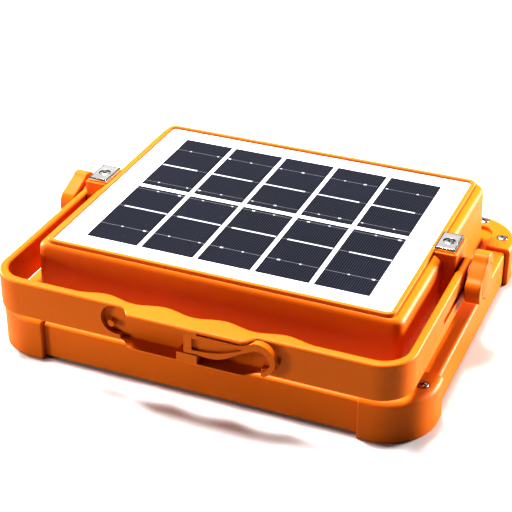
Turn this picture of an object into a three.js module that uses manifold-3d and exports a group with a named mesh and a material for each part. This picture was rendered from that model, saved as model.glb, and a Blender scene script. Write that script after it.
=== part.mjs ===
// Portable solar work light, lying face down: a flat lamp head with its lens on the bench, a battery box
// on its back with a solar panel let into the top, and a U-shaped carrying handle folded round the box.
// Units are millimetres, +Z is up, X runs along the lamp's long side and the grip points to -Y.
import * as THREE from 'three';
import { mergeVertices } from 'three/addons/utils/BufferGeometryUtils.js';
import Module from 'manifold-3d';

const wasm = await Module();
wasm.setup();

// Fits and facet counts
const fitGap = 0.3;
const cutOverrun = 1;
const weldOverlap = 0.5;
const cornerSteps = 5;
const smallCornerSteps = 2;
const edgeSteps = 3;
const smallEdgeSteps = 2;
const roundSteps = 20;
const smallRoundSteps = 10;
const hexSides = 6;

// Lamp head
const headMarginX = 8.7;
const headMarginY = 8;
const slabTop = 18;
const slabCornerRadius = 20;
const slabEdgeRadius = 2.6;
const wallThickness = 2.2;
const rebateWall = 1.7;
const ledgeWidth = 1.7;

// Battery box on the back of the lamp head
const headShoulderX = 14.4;
const headShoulderY = 16.6;
const boxCornerRadius = 7.5;
const boxDraft = 0.6;
const boxRootRadius = 1.6;
const shoulderDrop = 3.6;
const rimWidth = 2;
const rimProud = 0.8;
const rimStep = 1.7;
const rimEdge = 0.35;
const rimCornerRadius = 4.2;

// Solar panel
const panelBorderX = 6.3;
const panelBorderY = 4.1;
const panelRise = 30.5;
const panelBoardThickness = 1.6;
const panelCornerRadius = 1.5;
const cellColumns = 5;
const cellRows = 2;
const cellMarginX = 12.15;
const cellMarginY = 9.65;
const cellThickness = 0.3;
const cellColumnGap = 2.3;
const cellRowGap = 3.3;

// Light source and lens
const lensThickness = 2.2;
const sealThickness = 1;
const sealWidth = 1.4;
const spreaderThickness = 1.6;
const ledBoardThickness = 1.6;
const reflectorWidth = 180;
const reflectorDepth = 150;
const reflectorCornerRadius = 14;
const cupColumns = 8;
const cupRows = 6;
const trayBorderX = 4.4;
const trayBorderY = 4.2;
const cupWeb = 1.8;
const cupThroat = 6;
const ledChipWidth = 3.5;
const ledChipHeight = 1;

// Corner guards
const guardThickness = 2;
const guardLip = 1.2;
const guardEdgeRadius = 2.8;
const guardFrontLeg = 28;
const guardSideLeg = 29.3;
const guardShelf = 10.5;
const guardShelfX = 11.9;
const guardInsideRadius = 7.2;

// Cross-head screws
const screwHeadRadius = 2.5;
const screwHeadHeight = 1.4;
const screwDome = 0.45;
const screwShankRadius = 1.25;
const screwLength = 11;
const screwRecess = 0.9;
const crossWidth = 0.7;
const crossLength = 2.9;
const crossDepth = 0.8;
const postRadius = 3;
const postLength = 7;
const guardScrewInsetX = 4.1;
const guardScrewAlongY = 17;
const guardScrewInsetY = 3.4;
const guardScrewAlongX = 16.7;

// Side bosses, magnet plates and pivots
const bossReach = 6.3;
const bossDepth = 18;
const bossStep = 1.8;
const bossInside = 3.8;
const bossCornerRadius = 1.1;
const magnetInset = 1.2;
const magnetWidth = 9.4;
const magnetLength = 15;
const magnetThickness = 1.6;
const magnetEdge = 0.4;
const magnetScrewLength = 7;
const pivotRise = 17;
const boltRadius = 2.4;
const boltHeadRadius = 4.1;
const boltHeadThickness = 3;
const boltTail = 1.2;
const nutRadius = 4.6;
const nutThickness = 3.6;
const collarWall = 2;

// Carrying handle
const armThickness = 3.6;
const handleHeight = 17.4;
const handleDrop = 1.2;
const handleReach = 91.5;
const armEndShift = 1.3;
const barThickness = 4.5;
const handleCornerRadius = 15;
const handleEdgeRadius = 1.2;
const armGrooveWidth = 3.4;
const armGrooveDepth = 1;
const armGrooveReach = 38;

// Grip in the middle of the handle bar
const gripCentre = 1.6;
const gripBulge = 5;
const gripBulgeHalf = 24.5;
const gripBlend = 7.5;
const wavePitch = 27.2;
const waveHeight = 1.3;
const waveCount = 4;
const waveSteps = 6;
const gripFlange = 1.3;
const gripPocketDepth = 2.6;
const gripEndRadius = 6.8;
const gripEndReach = 40.8;
const gripEndRise = 1.2;
const pegRadius = 1.2;
const pegHeight = 2.2;
const pegInset = 4.6;

// Fold-out hook between the two lugs of the grip
const lugWidth = 9.2;
const lugShift = 1;
const upperLugDrop = 0.9;
const lowerLugRise = 4;
const hookPivotShift = 1.3;
const hookPivotInset = 1.8;
const hookThickness = 3;
const hookKnuckleRadius = 1.6;
const hookPinRadius = 0.8;
const hookReach = 38;
const hookCurlRadius = 7.9;
const hookCurlWall = 2.2;
const hookCurlTopWall = 3.6;
const hookNeckWidth = 5.2;
const hookBelly = 0.6;
const hookBellyShare = 0.72;
const hookRim = 1.9;
const hookPocketDepth = 1.3;
const hookPocketReach = 24;
const hookPocketTurnShare = 0.6;
const hookTipRadius = 1.1;
const hookTipTurnShare = -0.36;
const hookCurlTurnShare = 0.55;
const hookInnerTurnShare = 0.6;
const hookTilt = 0.04;
const hookCurlDrop = 0.6;

// Clamping knobs
const knobRadius = 13;
const knobValley = 9.6;
const knobLobes = 3;
const knobLobeSteps = 12;
const knobThickness = 7.2;
const knobEdgeRadius = 0.9;
const knobCapRadius = 8;
const knobCapThickness = 1.2;
const knobCapCrown = 0.5;
const knobCapFlatShare = 0.6;
const knobCapCrownShare = 0.7;
const knobTurnShare = 0.19;
const washerRadius = 7;
const washerThickness = 0.8;

// Ports, switch and gauge in the rear wall
const portRecessWidth = 34;
const portRecessHeight = 12;
const portRecessDepth = 1.5;
const portCornerRadius = 2;
const portInset = 22;
const portCoverTab = 3;
const portCoverProud = 0.75;
const socketAWidth = 14.4;
const socketAHeight = 7;
const socketADepth = 14;
const socketAMouthWidth = 12.5;
const socketAMouthHeight = 4.9;
const socketAMouthDepth = 9;
const socketCWidth = 9;
const socketCHeight = 3.3;
const socketCDepth = 7.5;
const socketCWall = 0.4;
const socketCMouthDepth = 6;
const socketPitch = 17;
const buttonGap = 9;
const buttonRadius = 6;
const buttonProud = 1.4;
const buttonTravel = 1;
const buttonFlange = 1.2;
const buttonCrown = 0.5;
const switchWidth = 12;
const switchHeight = 10;
const switchDepth = 6;
const gaugeWidth = 20;
const gaugeHeight = 4;
const gaugeGap = 8;

// Control board and battery
const controlWidth = 104;
const controlDepth = 26;
const controlThickness = 1.6;
const controlWallGap = 3;
const controlPostInset = 6;
const controlPostRadius = 3;
const batteryCount = 4;
const batteryRadius = 9.2;
const batteryLength = 65;
const batteryGap = 2;
const batteryShiftY = -14;
const batteryButtonRadius = 3;
const batteryButtonHeight = 1;
const holderFloor = 2;
const holderEnd = 2.4;
const holderSaddle = 5;
const batteryRound = 16;

// Widths and places that follow from the sizes above, from the reflector outwards
const slabWidth = reflectorWidth + 2 * headMarginX;
const slabDepth = reflectorDepth + 2 * headMarginY;
const boxWidth = slabWidth - 2 * headShoulderX;
const boxDepth = slabDepth - 2 * headShoulderY;
const panelWidth = boxWidth - 2 * panelBorderX;
const panelDepth = boxDepth - 2 * panelBorderY;
const cellWidth = (panelWidth - 2 * cellMarginX - (cellColumns - 1) * cellColumnGap) / cellColumns;
const cellLength = (panelDepth - 2 * cellMarginY - (cellRows - 1) * cellRowGap) / cellRows;
const cupPitchX = (reflectorWidth - 2 * trayBorderX) / cupColumns;
const cupPitchY = (reflectorDepth - 2 * trayBorderY) / cupRows;
const cupMouthWidth = cupPitchX - cupWeb;
const cupMouthLength = cupPitchY - cupWeb;
const portCentreX = controlWidth / 2 - portInset;
const gaugeCentreX = portCentreX - portRecessWidth / 2 - gaugeGap - gaugeWidth / 2;
const buttonCentreX = gaugeCentreX - gaugeWidth / 2 - buttonGap - buttonRadius;
const batteryPitch = 2 * batteryRadius + batteryGap;

// Levels that follow from the sizes above
const panelTop = slabTop + panelRise;
const rimTop = panelTop + rimProud;
const shoulderTop = rimTop - rimStep;
const bossTop = shoulderTop + bossStep;
const pivotHeight = slabTop + pivotRise;
const slabBottom = guardLip + fitGap;
const lensTop = slabBottom + lensThickness;
const ledgeLevel = lensTop + sealThickness;
const slabCeiling = slabTop - wallThickness;
const spreaderTop = slabCeiling - fitGap;
const spreaderBottom = spreaderTop - spreaderThickness;
const ledBoardBottom = spreaderBottom - ledBoardThickness;
const reflectorBottom = lensTop + fitGap;
const panelFloor = panelTop - cellThickness - panelBoardThickness;
const boxCeiling = panelFloor - wallThickness;
const guardTop = slabTop + fitGap + guardThickness;
const guardScrewSeat = guardTop - screwRecess;
const slabHalfX = slabWidth / 2;
const slabHalfY = slabDepth / 2;
const boxHalfX = boxWidth / 2;
const boxHalfY = boxDepth / 2;
const rimInnerX = panelWidth / 2 + fitGap;
const rimInnerY = panelDepth / 2 + fitGap;
const rimOuterX = rimInnerX + rimWidth;
const rimOuterY = rimInnerY + rimWidth;
const guardHalfX = slabHalfX + fitGap + guardThickness;
const guardHalfY = slabHalfY + fitGap + guardThickness;
const guardCornerRadius = slabCornerRadius + fitGap + guardThickness;
const bossFace = boxHalfX + bossReach;
const magnetCentre = bossFace - magnetInset - magnetWidth / 2;
const armInner = bossFace + fitGap;
const armOuter = armInner + armThickness;
const washerInner = armOuter + fitGap;
const knobInner = washerInner + washerThickness + fitGap;
const handleMiddle = pivotHeight - handleDrop;
const handleBottom = handleMiddle - handleHeight / 2;
const handleTopLevel = handleMiddle + handleHeight / 2;
const gripFront = handleReach + gripBulge;
const originShiftY = (gripFront - guardHalfY) / 2;

// Materials
const orange = { color: 0xf47c10, roughness: 0.32, metalness: 0 };
const orangeDark = { color: 0xe86a08, roughness: 0.36, metalness: 0 };
const steel = { color: 0xc9cbce, roughness: 0.25, metalness: 1 };
const finishes = {
  orange: orange,
  orangeDark: orangeDark,
  steel: steel,
  nickel: { color: 0xdadbdd, roughness: 0.18, metalness: 1 },
  panelWhite: { color: 0xf2f3f4, roughness: 0.3, metalness: 0 },
  cellBlue: { color: 0x1b1f2c, roughness: 0.25, metalness: 0.2 },
  clear: { color: 0xdfe8ea, roughness: 0.08, metalness: 0 },
  reflector: { color: 0xe9eaec, roughness: 0.2, metalness: 0.6 },
  boardWhite: { color: 0xeeeeea, roughness: 0.5, metalness: 0 },
  boardGreen: { color: 0x1d6b3c, roughness: 0.5, metalness: 0 },
  aluminium: { color: 0xa9abad, roughness: 0.45, metalness: 1 },
  rubber: { color: 0x2a2a2b, roughness: 0.8, metalness: 0 },
  black: { color: 0x1a1a1b, roughness: 0.5, metalness: 0 },
  batteryWrap: { color: 0x2f6fb0, roughness: 0.35, metalness: 0 },
};

function material(name) {
  return new THREE.MeshStandardMaterial(finishes[name]);
}

function part(name, geometry, finish, parent) {
  const mesh = new THREE.Mesh(geometry, material(finish));
  mesh.name = name;
  parent.add(mesh);
  return mesh;
}

// Solid from a closed geometry, and geometry from a solid
function solidOf(geometry) {
  const plain = geometry.clone();
  plain.deleteAttribute('normal');
  plain.deleteAttribute('uv');
  const merged = mergeVertices(plain);
  const vertProperties = new Float32Array(merged.attributes.position.array);
  const triVerts = new Uint32Array(merged.index.array);
  return new wasm.Manifold(new wasm.Mesh({ numProp: 3, vertProperties, triVerts }));
}

function geometryOf(solid) {
  const mesh = solid.getMesh();
  const geometry = new THREE.BufferGeometry();
  geometry.setAttribute('position', new THREE.BufferAttribute(new Float32Array(mesh.vertProperties), 3));
  geometry.setIndex(new THREE.BufferAttribute(new Uint32Array(mesh.triVerts), 1));
  geometry.computeVertexNormals();
  return geometry;
}

function joined(solids) {
  return solids.reduce((whole, next) => whole.add(next));
}

function cutBy(solid, cutters) {
  return cutters.reduce((rest, cutter) => rest.subtract(cutter), solid);
}

// Block given by its lowest and highest corner
function block(x0, x1, y0, y1, z0, z1) {
  const geometry = new THREE.BoxGeometry(x1 - x0, y1 - y0, z1 - z0);
  geometry.translate((x0 + x1) / 2, (y0 + y1) / 2, (z0 + z1) / 2);
  return solidOf(geometry);
}

// Round bar along X, Y or Z between two places on that axis
function bar(axis, radius, from, to, centre, steps = roundSteps) {
  const geometry = new THREE.CylinderGeometry(radius, radius, to - from, steps);
  if (axis === 'x') geometry.rotateZ(-Math.PI / 2);
  if (axis === 'z') geometry.rotateX(Math.PI / 2);
  const middle = (from + to) / 2;
  const place = new THREE.Vector3(centre.x ?? middle, centre.y ?? middle, centre.z ?? middle);
  geometry.translate(place.x, place.y, place.z);
  return solidOf(geometry);
}

// Turned piece about Z from a profile of [radius, height] pairs that starts and ends on the axis
function turned(profile, steps) {
  const points = profile.map(([radius, height]) => new THREE.Vector2(radius, height));
  const geometry = new THREE.LatheGeometry(points, steps);
  geometry.rotateX(Math.PI / 2);
  return geometry;
}

// Flat shape pushed through a depth: drawn in XY and raised along Z, drawn in XZ and pushed to -Y, or
// drawn in YZ and pushed to +X
const drawnInXY = new THREE.Matrix4();
const drawnInXZ = new THREE.Matrix4().makeBasis(
  new THREE.Vector3(1, 0, 0), new THREE.Vector3(0, 0, 1), new THREE.Vector3(0, -1, 0));
const drawnInYZ = new THREE.Matrix4().makeBasis(
  new THREE.Vector3(0, 1, 0), new THREE.Vector3(0, 0, 1), new THREE.Vector3(1, 0, 0));

function pushed(shape, plane, depth, edge = 0, curveSegments = cornerSteps) {
  const bevel = {
    bevelEnabled: edge > 0,
    bevelThickness: edge,
    bevelSize: edge,
    bevelOffset: -edge,
    bevelSegments: smallEdgeSteps,
  };
  const geometry = new THREE.ExtrudeGeometry(shape, { depth: depth - 2 * edge, curveSegments, ...bevel });
  geometry.translate(0, 0, edge);
  geometry.applyMatrix4(plane);
  return geometry;
}

// Rounded rectangle as a flat shape
function roundedRectangle(width, height, radius, centreX = 0, centreY = 0) {
  const shape = new THREE.Shape();
  const x = width / 2 - radius;
  const y = height / 2 - radius;
  shape.absarc(centreX + x, centreY + y, radius, 0, Math.PI / 2);
  shape.absarc(centreX - x, centreY + y, radius, Math.PI / 2, Math.PI);
  shape.absarc(centreX - x, centreY - y, radius, Math.PI, Math.PI * 1.5);
  shape.absarc(centreX + x, centreY - y, radius, Math.PI * 1.5, Math.PI * 2);
  shape.closePath();
  return shape;
}

// Level ring with rounded corners, the section that the housings are lofted from
function ring(halfX, halfY, radius, level) {
  const points = [];
  for (let corner = 0; corner < 4; corner += 1) {
    const centreX = (corner === 0 || corner === 3 ? 1 : -1) * (halfX - radius);
    const centreY = (corner < 2 ? 1 : -1) * (halfY - radius);
    for (let step = 0; step <= cornerSteps; step += 1) {
      const angle = (corner + step / cornerSteps) * Math.PI / 2;
      points.push([centreX + radius * Math.cos(angle), centreY + radius * Math.sin(angle), level]);
    }
  }
  return points;
}

// Closed skin over a chain of rings, capped at both ends
function lofted(rings) {
  const count = rings[0].length;
  const positions = rings.flat(2);
  const index = [];
  for (let k = 0; k < rings.length - 1; k += 1) {
    for (let i = 0; i < count; i += 1) {
      const j = (i + 1) % count;
      const [a, b, c, d] = [k * count + i, k * count + j, (k + 1) * count + j, (k + 1) * count + i];
      index.push(a, b, c, a, c, d);
    }
  }
  const last = (rings.length - 1) * count;
  for (let i = 1; i < count - 1; i += 1) {
    index.push(0, i + 1, i);
    index.push(last, last + i, last + i + 1);
  }
  const geometry = new THREE.BufferGeometry();
  geometry.setAttribute('position', new THREE.Float32BufferAttribute(positions, 3));
  geometry.setIndex(index);
  return solidOf(geometry);
}

// Rings that round an edge inwards and upwards by the given run and rise
function roundedEdge(halfX, halfY, radius, level, runX, runY = runX, rise = runX) {
  const rings = [];
  for (let step = 0; step <= edgeSteps; step += 1) {
    const angle = (step / edgeSteps) * Math.PI / 2;
    const inX = runX * (1 - Math.cos(angle));
    const inY = runY * (1 - Math.cos(angle));
    rings.push(ring(halfX - inX, halfY - inY, radius - Math.min(inX, inY), level + rise * Math.sin(angle)));
  }
  return rings;
}

// Outside of the lamp head, grown by a clearance for the guards that wrap it
function slabSolid(grow) {
  const halfX = slabHalfX + grow;
  const halfY = slabHalfY + grow;
  const radius = slabCornerRadius + grow;
  const top = slabTop + grow;
  return lofted([
    ring(halfX, halfY, radius, slabBottom - grow),
    ...roundedEdge(halfX, halfY, radius, top - slabEdgeRadius, slabEdgeRadius),
  ]);
}

// Places that a mirrored quarter repeats: both signs of X and Y
const quarters = [
  { tag: 'front_left', x: -1, y: -1 },
  { tag: 'front_right', x: 1, y: -1 },
  { tag: 'rear_left', x: -1, y: 1 },
  { tag: 'rear_right', x: 1, y: 1 },
];
const sides = [
  { tag: 'left', x: -1 },
  { tag: 'right', x: 1 },
];

function guardScrewPlaces(quarter) {
  const side = { x: slabHalfX - guardScrewInsetX, y: slabHalfY - guardScrewAlongY };
  const end = { x: slabHalfX - guardScrewAlongX, y: slabHalfY - guardScrewInsetY };
  return [
    { tag: 'side', x: quarter.x * side.x, y: quarter.y * side.y },
    { tag: 'end', x: quarter.x * end.x, y: quarter.y * end.y },
  ];
}

// Rear housing: one moulding with the lamp head's walls, the box, the panel's rim, two bosses and posts
function housingShell() {
  const wallX = boxHalfX + boxDraft;
  const wallY = boxHalfY + boxDraft;
  const innerX = boxHalfX - wallThickness;
  const innerY = boxHalfY - wallThickness;
  const innerRadius = boxCornerRadius - wallThickness;
  const headX = slabHalfX - rebateWall - ledgeWidth;
  const headY = slabHalfY - rebateWall - ledgeWidth;
  const headRadius = slabCornerRadius - rebateWall - ledgeWidth;
  const rebateX = slabHalfX - rebateWall;
  const rebateY = slabHalfY - rebateWall;
  const rebateRadius = slabCornerRadius - rebateWall;
  const slabEdge = slabTop - slabEdgeRadius;
  const shoulderBase = shoulderTop - shoulderDrop;
  const shoulderX = boxHalfX - rimOuterX;
  const shoulderY = boxHalfY - rimOuterY;
  const rimRadius = rimCornerRadius;
  const rimInnerRadius = rimCornerRadius - rimWidth;
  return lofted([
    ring(innerX, innerY, innerRadius, boxCeiling),
    ring(innerX, innerY, innerRadius, slabCeiling),
    ring(headX, headY, headRadius, slabCeiling),
    ring(headX, headY, headRadius, ledgeLevel),
    ring(rebateX, rebateY, rebateRadius, ledgeLevel),
    ring(rebateX, rebateY, rebateRadius, slabBottom),
    ring(slabHalfX, slabHalfY, slabCornerRadius, slabBottom),
    ...roundedEdge(slabHalfX, slabHalfY, slabCornerRadius, slabEdge, slabEdgeRadius),
    ring(wallX + boxRootRadius, wallY + boxRootRadius, boxCornerRadius + boxRootRadius, slabTop),
    ring(wallX, wallY, boxCornerRadius, slabTop + boxRootRadius),
    ...roundedEdge(boxHalfX, boxHalfY, boxCornerRadius, shoulderBase, shoulderX, shoulderY, shoulderDrop),
    ring(rimOuterX, rimOuterY, rimRadius, rimTop - rimEdge),
    ring(rimOuterX - rimEdge, rimOuterY - rimEdge, rimRadius - rimEdge, rimTop),
    ring(rimInnerX + rimEdge, rimInnerY + rimEdge, rimInnerRadius + rimEdge, rimTop),
    ring(rimInnerX, rimInnerY, rimInnerRadius, rimTop - rimEdge),
    ring(rimInnerX, rimInnerY, rimInnerRadius, panelFloor),
  ]);
}

function bossSolid(side) {
  const centreX = side.x * (bossFace + boxHalfX - bossInside) / 2;
  const shape = roundedRectangle(bossReach + bossInside, bossDepth, bossCornerRadius, centreX);
  const geometry = pushed(shape, drawnInXY, bossTop - slabCeiling, rimEdge, smallCornerSteps);
  geometry.translate(0, 0, slabCeiling);
  return solidOf(geometry);
}

function rearWallPlaces() {
  const board = boxCeiling - controlPostLength();
  const socketMiddle = board - controlThickness - socketAHeight / 2;
  return { boardTop: board, middle: socketMiddle };
}

function controlPostLength() {
  return boxCeiling - pivotHeight - fitGap;
}

function portShape(width, height, radius, centreX) {
  return roundedRectangle(width, height, radius, centreX, rearWallPlaces().middle);
}

// A cutter or plate drawn on the rear wall, from one depth inside the box's rear face to another
function onRearWall(shape, from, to) {
  const geometry = pushed(shape, drawnInXZ, to - from, 0, smallCornerSteps);
  geometry.translate(0, to, 0);
  return solidOf(geometry);
}

function rearHousing(parent) {
  const shell = housingShell();
  const adds = [];
  const cuts = [];
  const innerWallX = boxHalfX - wallThickness;
  const collarTo = innerWallX + weldOverlap;
  for (const side of sides) {
    adds.push(bossSolid(side));
    const [from, to] = [innerWallX - nutThickness, collarTo].map((x) => side.x * x);
    const centre = { y: 0, z: pivotHeight };
    adds.push(bar('x', nutRadius + collarWall, Math.min(from, to), Math.max(from, to), centre));
    const nutEnds = [innerWallX - nutThickness - cutOverrun, innerWallX].map((x) => side.x * x);
    const boltEnds = [innerWallX - cutOverrun, bossFace + cutOverrun].map((x) => side.x * x);
    const pocketRadius = nutRadius + fitGap;
    cuts.push(bar('x', pocketRadius, Math.min(...nutEnds), Math.max(...nutEnds), centre, hexSides));
    cuts.push(bar('x', boltRadius + fitGap, Math.min(...boltEnds), Math.max(...boltEnds), centre,
      smallRoundSteps));
    const screwPlace = { x: side.x * magnetCentre, y: 0 };
    const screwFoot = bossTop - magnetScrewLength - fitGap;
    cuts.push(bar('z', screwShankRadius + fitGap, screwFoot, bossTop + cutOverrun, screwPlace,
      smallRoundSteps));
  }
  const postFoot = slabCeiling - postLength;
  for (const quarter of quarters) {
    for (const place of guardScrewPlaces(quarter)) {
      adds.push(bar('z', postRadius, postFoot, slabCeiling + weldOverlap, place, smallRoundSteps));
      const holeFoot = guardScrewSeat - screwLength - fitGap;
      cuts.push(bar('z', screwShankRadius + fitGap, holeFoot, slabTop + cutOverrun, place, smallRoundSteps));
    }
  }
  const ports = rearWallPlaces();
  for (const x of [-1, 1]) {
    const place = {
      x: x * (controlWidth / 2 - controlPostInset),
      y: boxHalfY - wallThickness - controlWallGap - controlDepth / 2,
    };
    const foot = ports.boardTop + fitGap;
    adds.push(bar('z', controlPostRadius, foot, boxCeiling + weldOverlap, place, smallRoundSteps));
  }
  const innerY = boxHalfY - wallThickness;
  const recessFloor = boxHalfY - portRecessDepth;
  adds.push(onRearWall(portShape(portRecessWidth + 2 * wallThickness, portRecessHeight + 2 * wallThickness,
    portCornerRadius, portCentreX), innerY - portRecessDepth, innerY + weldOverlap));
  cuts.push(onRearWall(portShape(portRecessWidth, portRecessHeight, portCornerRadius, portCentreX),
    recessFloor, boxHalfY + cutOverrun));
  const through = innerY - portRecessDepth - cutOverrun;
  const outside = boxHalfY + cutOverrun;
  cuts.push(onRearWall(portShape(socketAMouthWidth + fitGap, socketAMouthHeight + fitGap, fitGap,
    portCentreX - socketPitch / 2), through, outside));
  cuts.push(onRearWall(portShape(socketCWidth + fitGap, socketCHeight + fitGap, socketCHeight / 2,
    portCentreX + socketPitch / 2), through, outside));
  cuts.push(bar('y', buttonRadius + fitGap, through, outside, { x: buttonCentreX, z: ports.middle }));
  const gaugeShape = portShape(gaugeWidth + fitGap, gaugeHeight + fitGap, gaugeHeight / 2, gaugeCentreX);
  cuts.push(onRearWall(gaugeShape, through, outside));
  part('rear_housing', geometryOf(cutBy(joined([shell, ...adds]), cuts)), 'orange', parent);
}

// Corner guard: an L-shaped cap over each corner of the lamp head, with a lip under the lens
function guardSolid() {
  const outer = lofted([
    ring(guardHalfX, guardHalfY, guardCornerRadius, 0),
    ...roundedEdge(guardHalfX, guardHalfY, guardCornerRadius, guardTop - guardEdgeRadius, guardEdgeRadius),
  ]);
  const plan = new THREE.Shape();
  const legX = guardHalfX - guardFrontLeg;
  const legY = guardHalfY - guardSideLeg;
  const shelfY = guardHalfY - guardShelf;
  const shelfX = guardHalfX - guardShelfX;
  const farX = guardHalfX + cutOverrun;
  const farY = guardHalfY + cutOverrun;
  plan.moveTo(legX, farY);
  plan.lineTo(legX, shelfY);
  plan.lineTo(shelfX - guardInsideRadius, shelfY);
  plan.quadraticCurveTo(shelfX, shelfY, shelfX, shelfY - guardInsideRadius);
  plan.lineTo(shelfX, legY);
  plan.lineTo(farX, legY);
  plan.lineTo(farX, farY);
  plan.closePath();
  const prism = solidOf(pushed(plan, drawnInXY, guardTop + cutOverrun));
  return outer.intersect(prism).subtract(slabSolid(fitGap));
}

function cornerGuards(parent) {
  const guard = guardSolid();
  for (const quarter of quarters) {
    const turnedGuard = guard.scale([quarter.x, quarter.y, 1]);
    const cuts = [];
    for (const place of guardScrewPlaces(quarter)) {
      cuts.push(bar('z', screwShankRadius + fitGap, slabTop, guardTop + cutOverrun, place, smallRoundSteps));
      cuts.push(bar('z', screwHeadRadius + fitGap, guardScrewSeat, guardTop + cutOverrun, place,
        smallRoundSteps));
    }
    part(`corner_guard_${quarter.tag}`, geometryOf(cutBy(turnedGuard, cuts)), 'orangeDark', parent);
    for (const place of guardScrewPlaces(quarter)) {
      const name = `guard_screw_${quarter.tag}_${place.tag}`;
      const screw = part(name, screwGeometry(screwLength), 'steel', parent);
      screw.position.set(place.x, place.y, guardScrewSeat);
    }
  }
}

// Pan-head screw standing on its seat at height zero, with a cross recess
function screwGeometry(length) {
  const body = solidOf(turned([
    [0, -length],
    [screwShankRadius, -length],
    [screwShankRadius, 0],
    [screwHeadRadius, 0],
    [screwHeadRadius, screwHeadHeight - screwDome],
    [screwHeadRadius - screwDome, screwHeadHeight],
    [0, screwHeadHeight],
  ], smallRoundSteps));
  const top = screwHeadHeight + cutOverrun;
  const floor = screwHeadHeight - crossDepth;
  const half = crossLength / 2;
  const thin = crossWidth / 2;
  const cross = block(-half, half, -thin, thin, floor, top).add(block(-thin, thin, -half, half, floor, top));
  return geometryOf(body.subtract(cross));
}

// Lens, seal, reflector, light board and heat spreader
function lightSource(parent) {
  const lensX = slabHalfX - rebateWall - fitGap;
  const lensY = slabHalfY - rebateWall - fitGap;
  const lensRadius = slabCornerRadius - rebateWall - fitGap;
  const lens = lofted([ring(lensX, lensY, lensRadius, slabBottom), ring(lensX, lensY, lensRadius, lensTop)]);
  part('lens_cover', geometryOf(lens), 'clear', parent);

  const sealOuter = lofted([
    ring(lensX, lensY, lensRadius, lensTop),
    ring(lensX, lensY, lensRadius, ledgeLevel),
  ]);
  const sealX = lensX - sealWidth;
  const sealY = lensY - sealWidth;
  const sealRadius = lensRadius - sealWidth;
  const sealHole = lofted([
    ring(sealX, sealY, sealRadius, lensTop - cutOverrun),
    ring(sealX, sealY, sealRadius, ledgeLevel + cutOverrun),
  ]);
  part('lens_seal', geometryOf(sealOuter.subtract(sealHole)), 'rubber', parent);

  const halfX = reflectorWidth / 2;
  const halfY = reflectorDepth / 2;
  const plate = (from, to) => lofted([
    ring(halfX, halfY, reflectorCornerRadius, from),
    ring(halfX, halfY, reflectorCornerRadius, to),
  ]);
  const cups = [];
  const chips = [];
  const chip = ledChipWidth / 2;
  const chipFloor = ledBoardBottom - ledChipHeight;
  for (let column = 0; column < cupColumns; column += 1) {
    for (let row = 0; row < cupRows; row += 1) {
      const x = (column - (cupColumns - 1) / 2) * cupPitchX;
      const y = (row - (cupRows - 1) / 2) * cupPitchY;
      cups.push(cupCutter().translate([x, y, 0]));
      chips.push(block(x - chip, x + chip, y - chip, y + chip, chipFloor, ledBoardBottom + weldOverlap));
    }
  }
  const tray = cutBy(plate(reflectorBottom, ledBoardBottom), cups);
  part('reflector_tray', geometryOf(tray), 'reflector', parent);
  const lightBoard = joined([plate(ledBoardBottom, spreaderBottom), ...chips]);
  part('led_board', geometryOf(lightBoard), 'boardWhite', parent);
  part('heat_spreader', geometryOf(plate(spreaderBottom, spreaderTop)), 'aluminium', parent);
}

// Square funnel that leaves one reflector cup, wide at the lens and narrow at the light chip
function cupCutter() {
  const mouthX = cupMouthWidth / 2;
  const mouthY = cupMouthLength / 2;
  const throat = cupThroat / 2;
  const depth = ledBoardBottom - reflectorBottom;
  const spreadX = (mouthX - throat) / depth;
  const spreadY = (mouthY - throat) / depth;
  const corner = (x, y, level) => [[x, y, level], [-x, y, level], [-x, -y, level], [x, -y, level]];
  return lofted([
    corner(mouthX + spreadX * cutOverrun, mouthY + spreadY * cutOverrun, reflectorBottom - cutOverrun),
    corner(throat, throat, ledBoardBottom),
    corner(throat, throat, ledBoardBottom + cutOverrun),
  ]);
}

// Solar panel: a white board let into the rim, with ten cells in two rows
function solarPanel(parent) {
  const boardTop = panelTop - cellThickness;
  const halfX = panelWidth / 2;
  const halfY = panelDepth / 2;
  const board = lofted([
    ring(halfX, halfY, panelCornerRadius, panelFloor),
    ring(halfX, halfY, panelCornerRadius, boardTop),
  ]);
  part('panel_board', geometryOf(board), 'panelWhite', parent);
  for (let row = 0; row < cellRows; row += 1) {
    for (let column = 0; column < cellColumns; column += 1) {
      const number = row * cellColumns + column + 1;
      const plate = new THREE.BoxGeometry(cellWidth, cellLength, cellThickness);
      const cell = part(`solar_cell_${number}`, plate, 'cellBlue', parent);
      cell.position.set(
        (column - (cellColumns - 1) / 2) * (cellWidth + cellColumnGap),
        (row - (cellRows - 1) / 2) * (cellLength + cellRowGap),
        panelTop - cellThickness / 2,
      );
    }
  }
}

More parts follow.
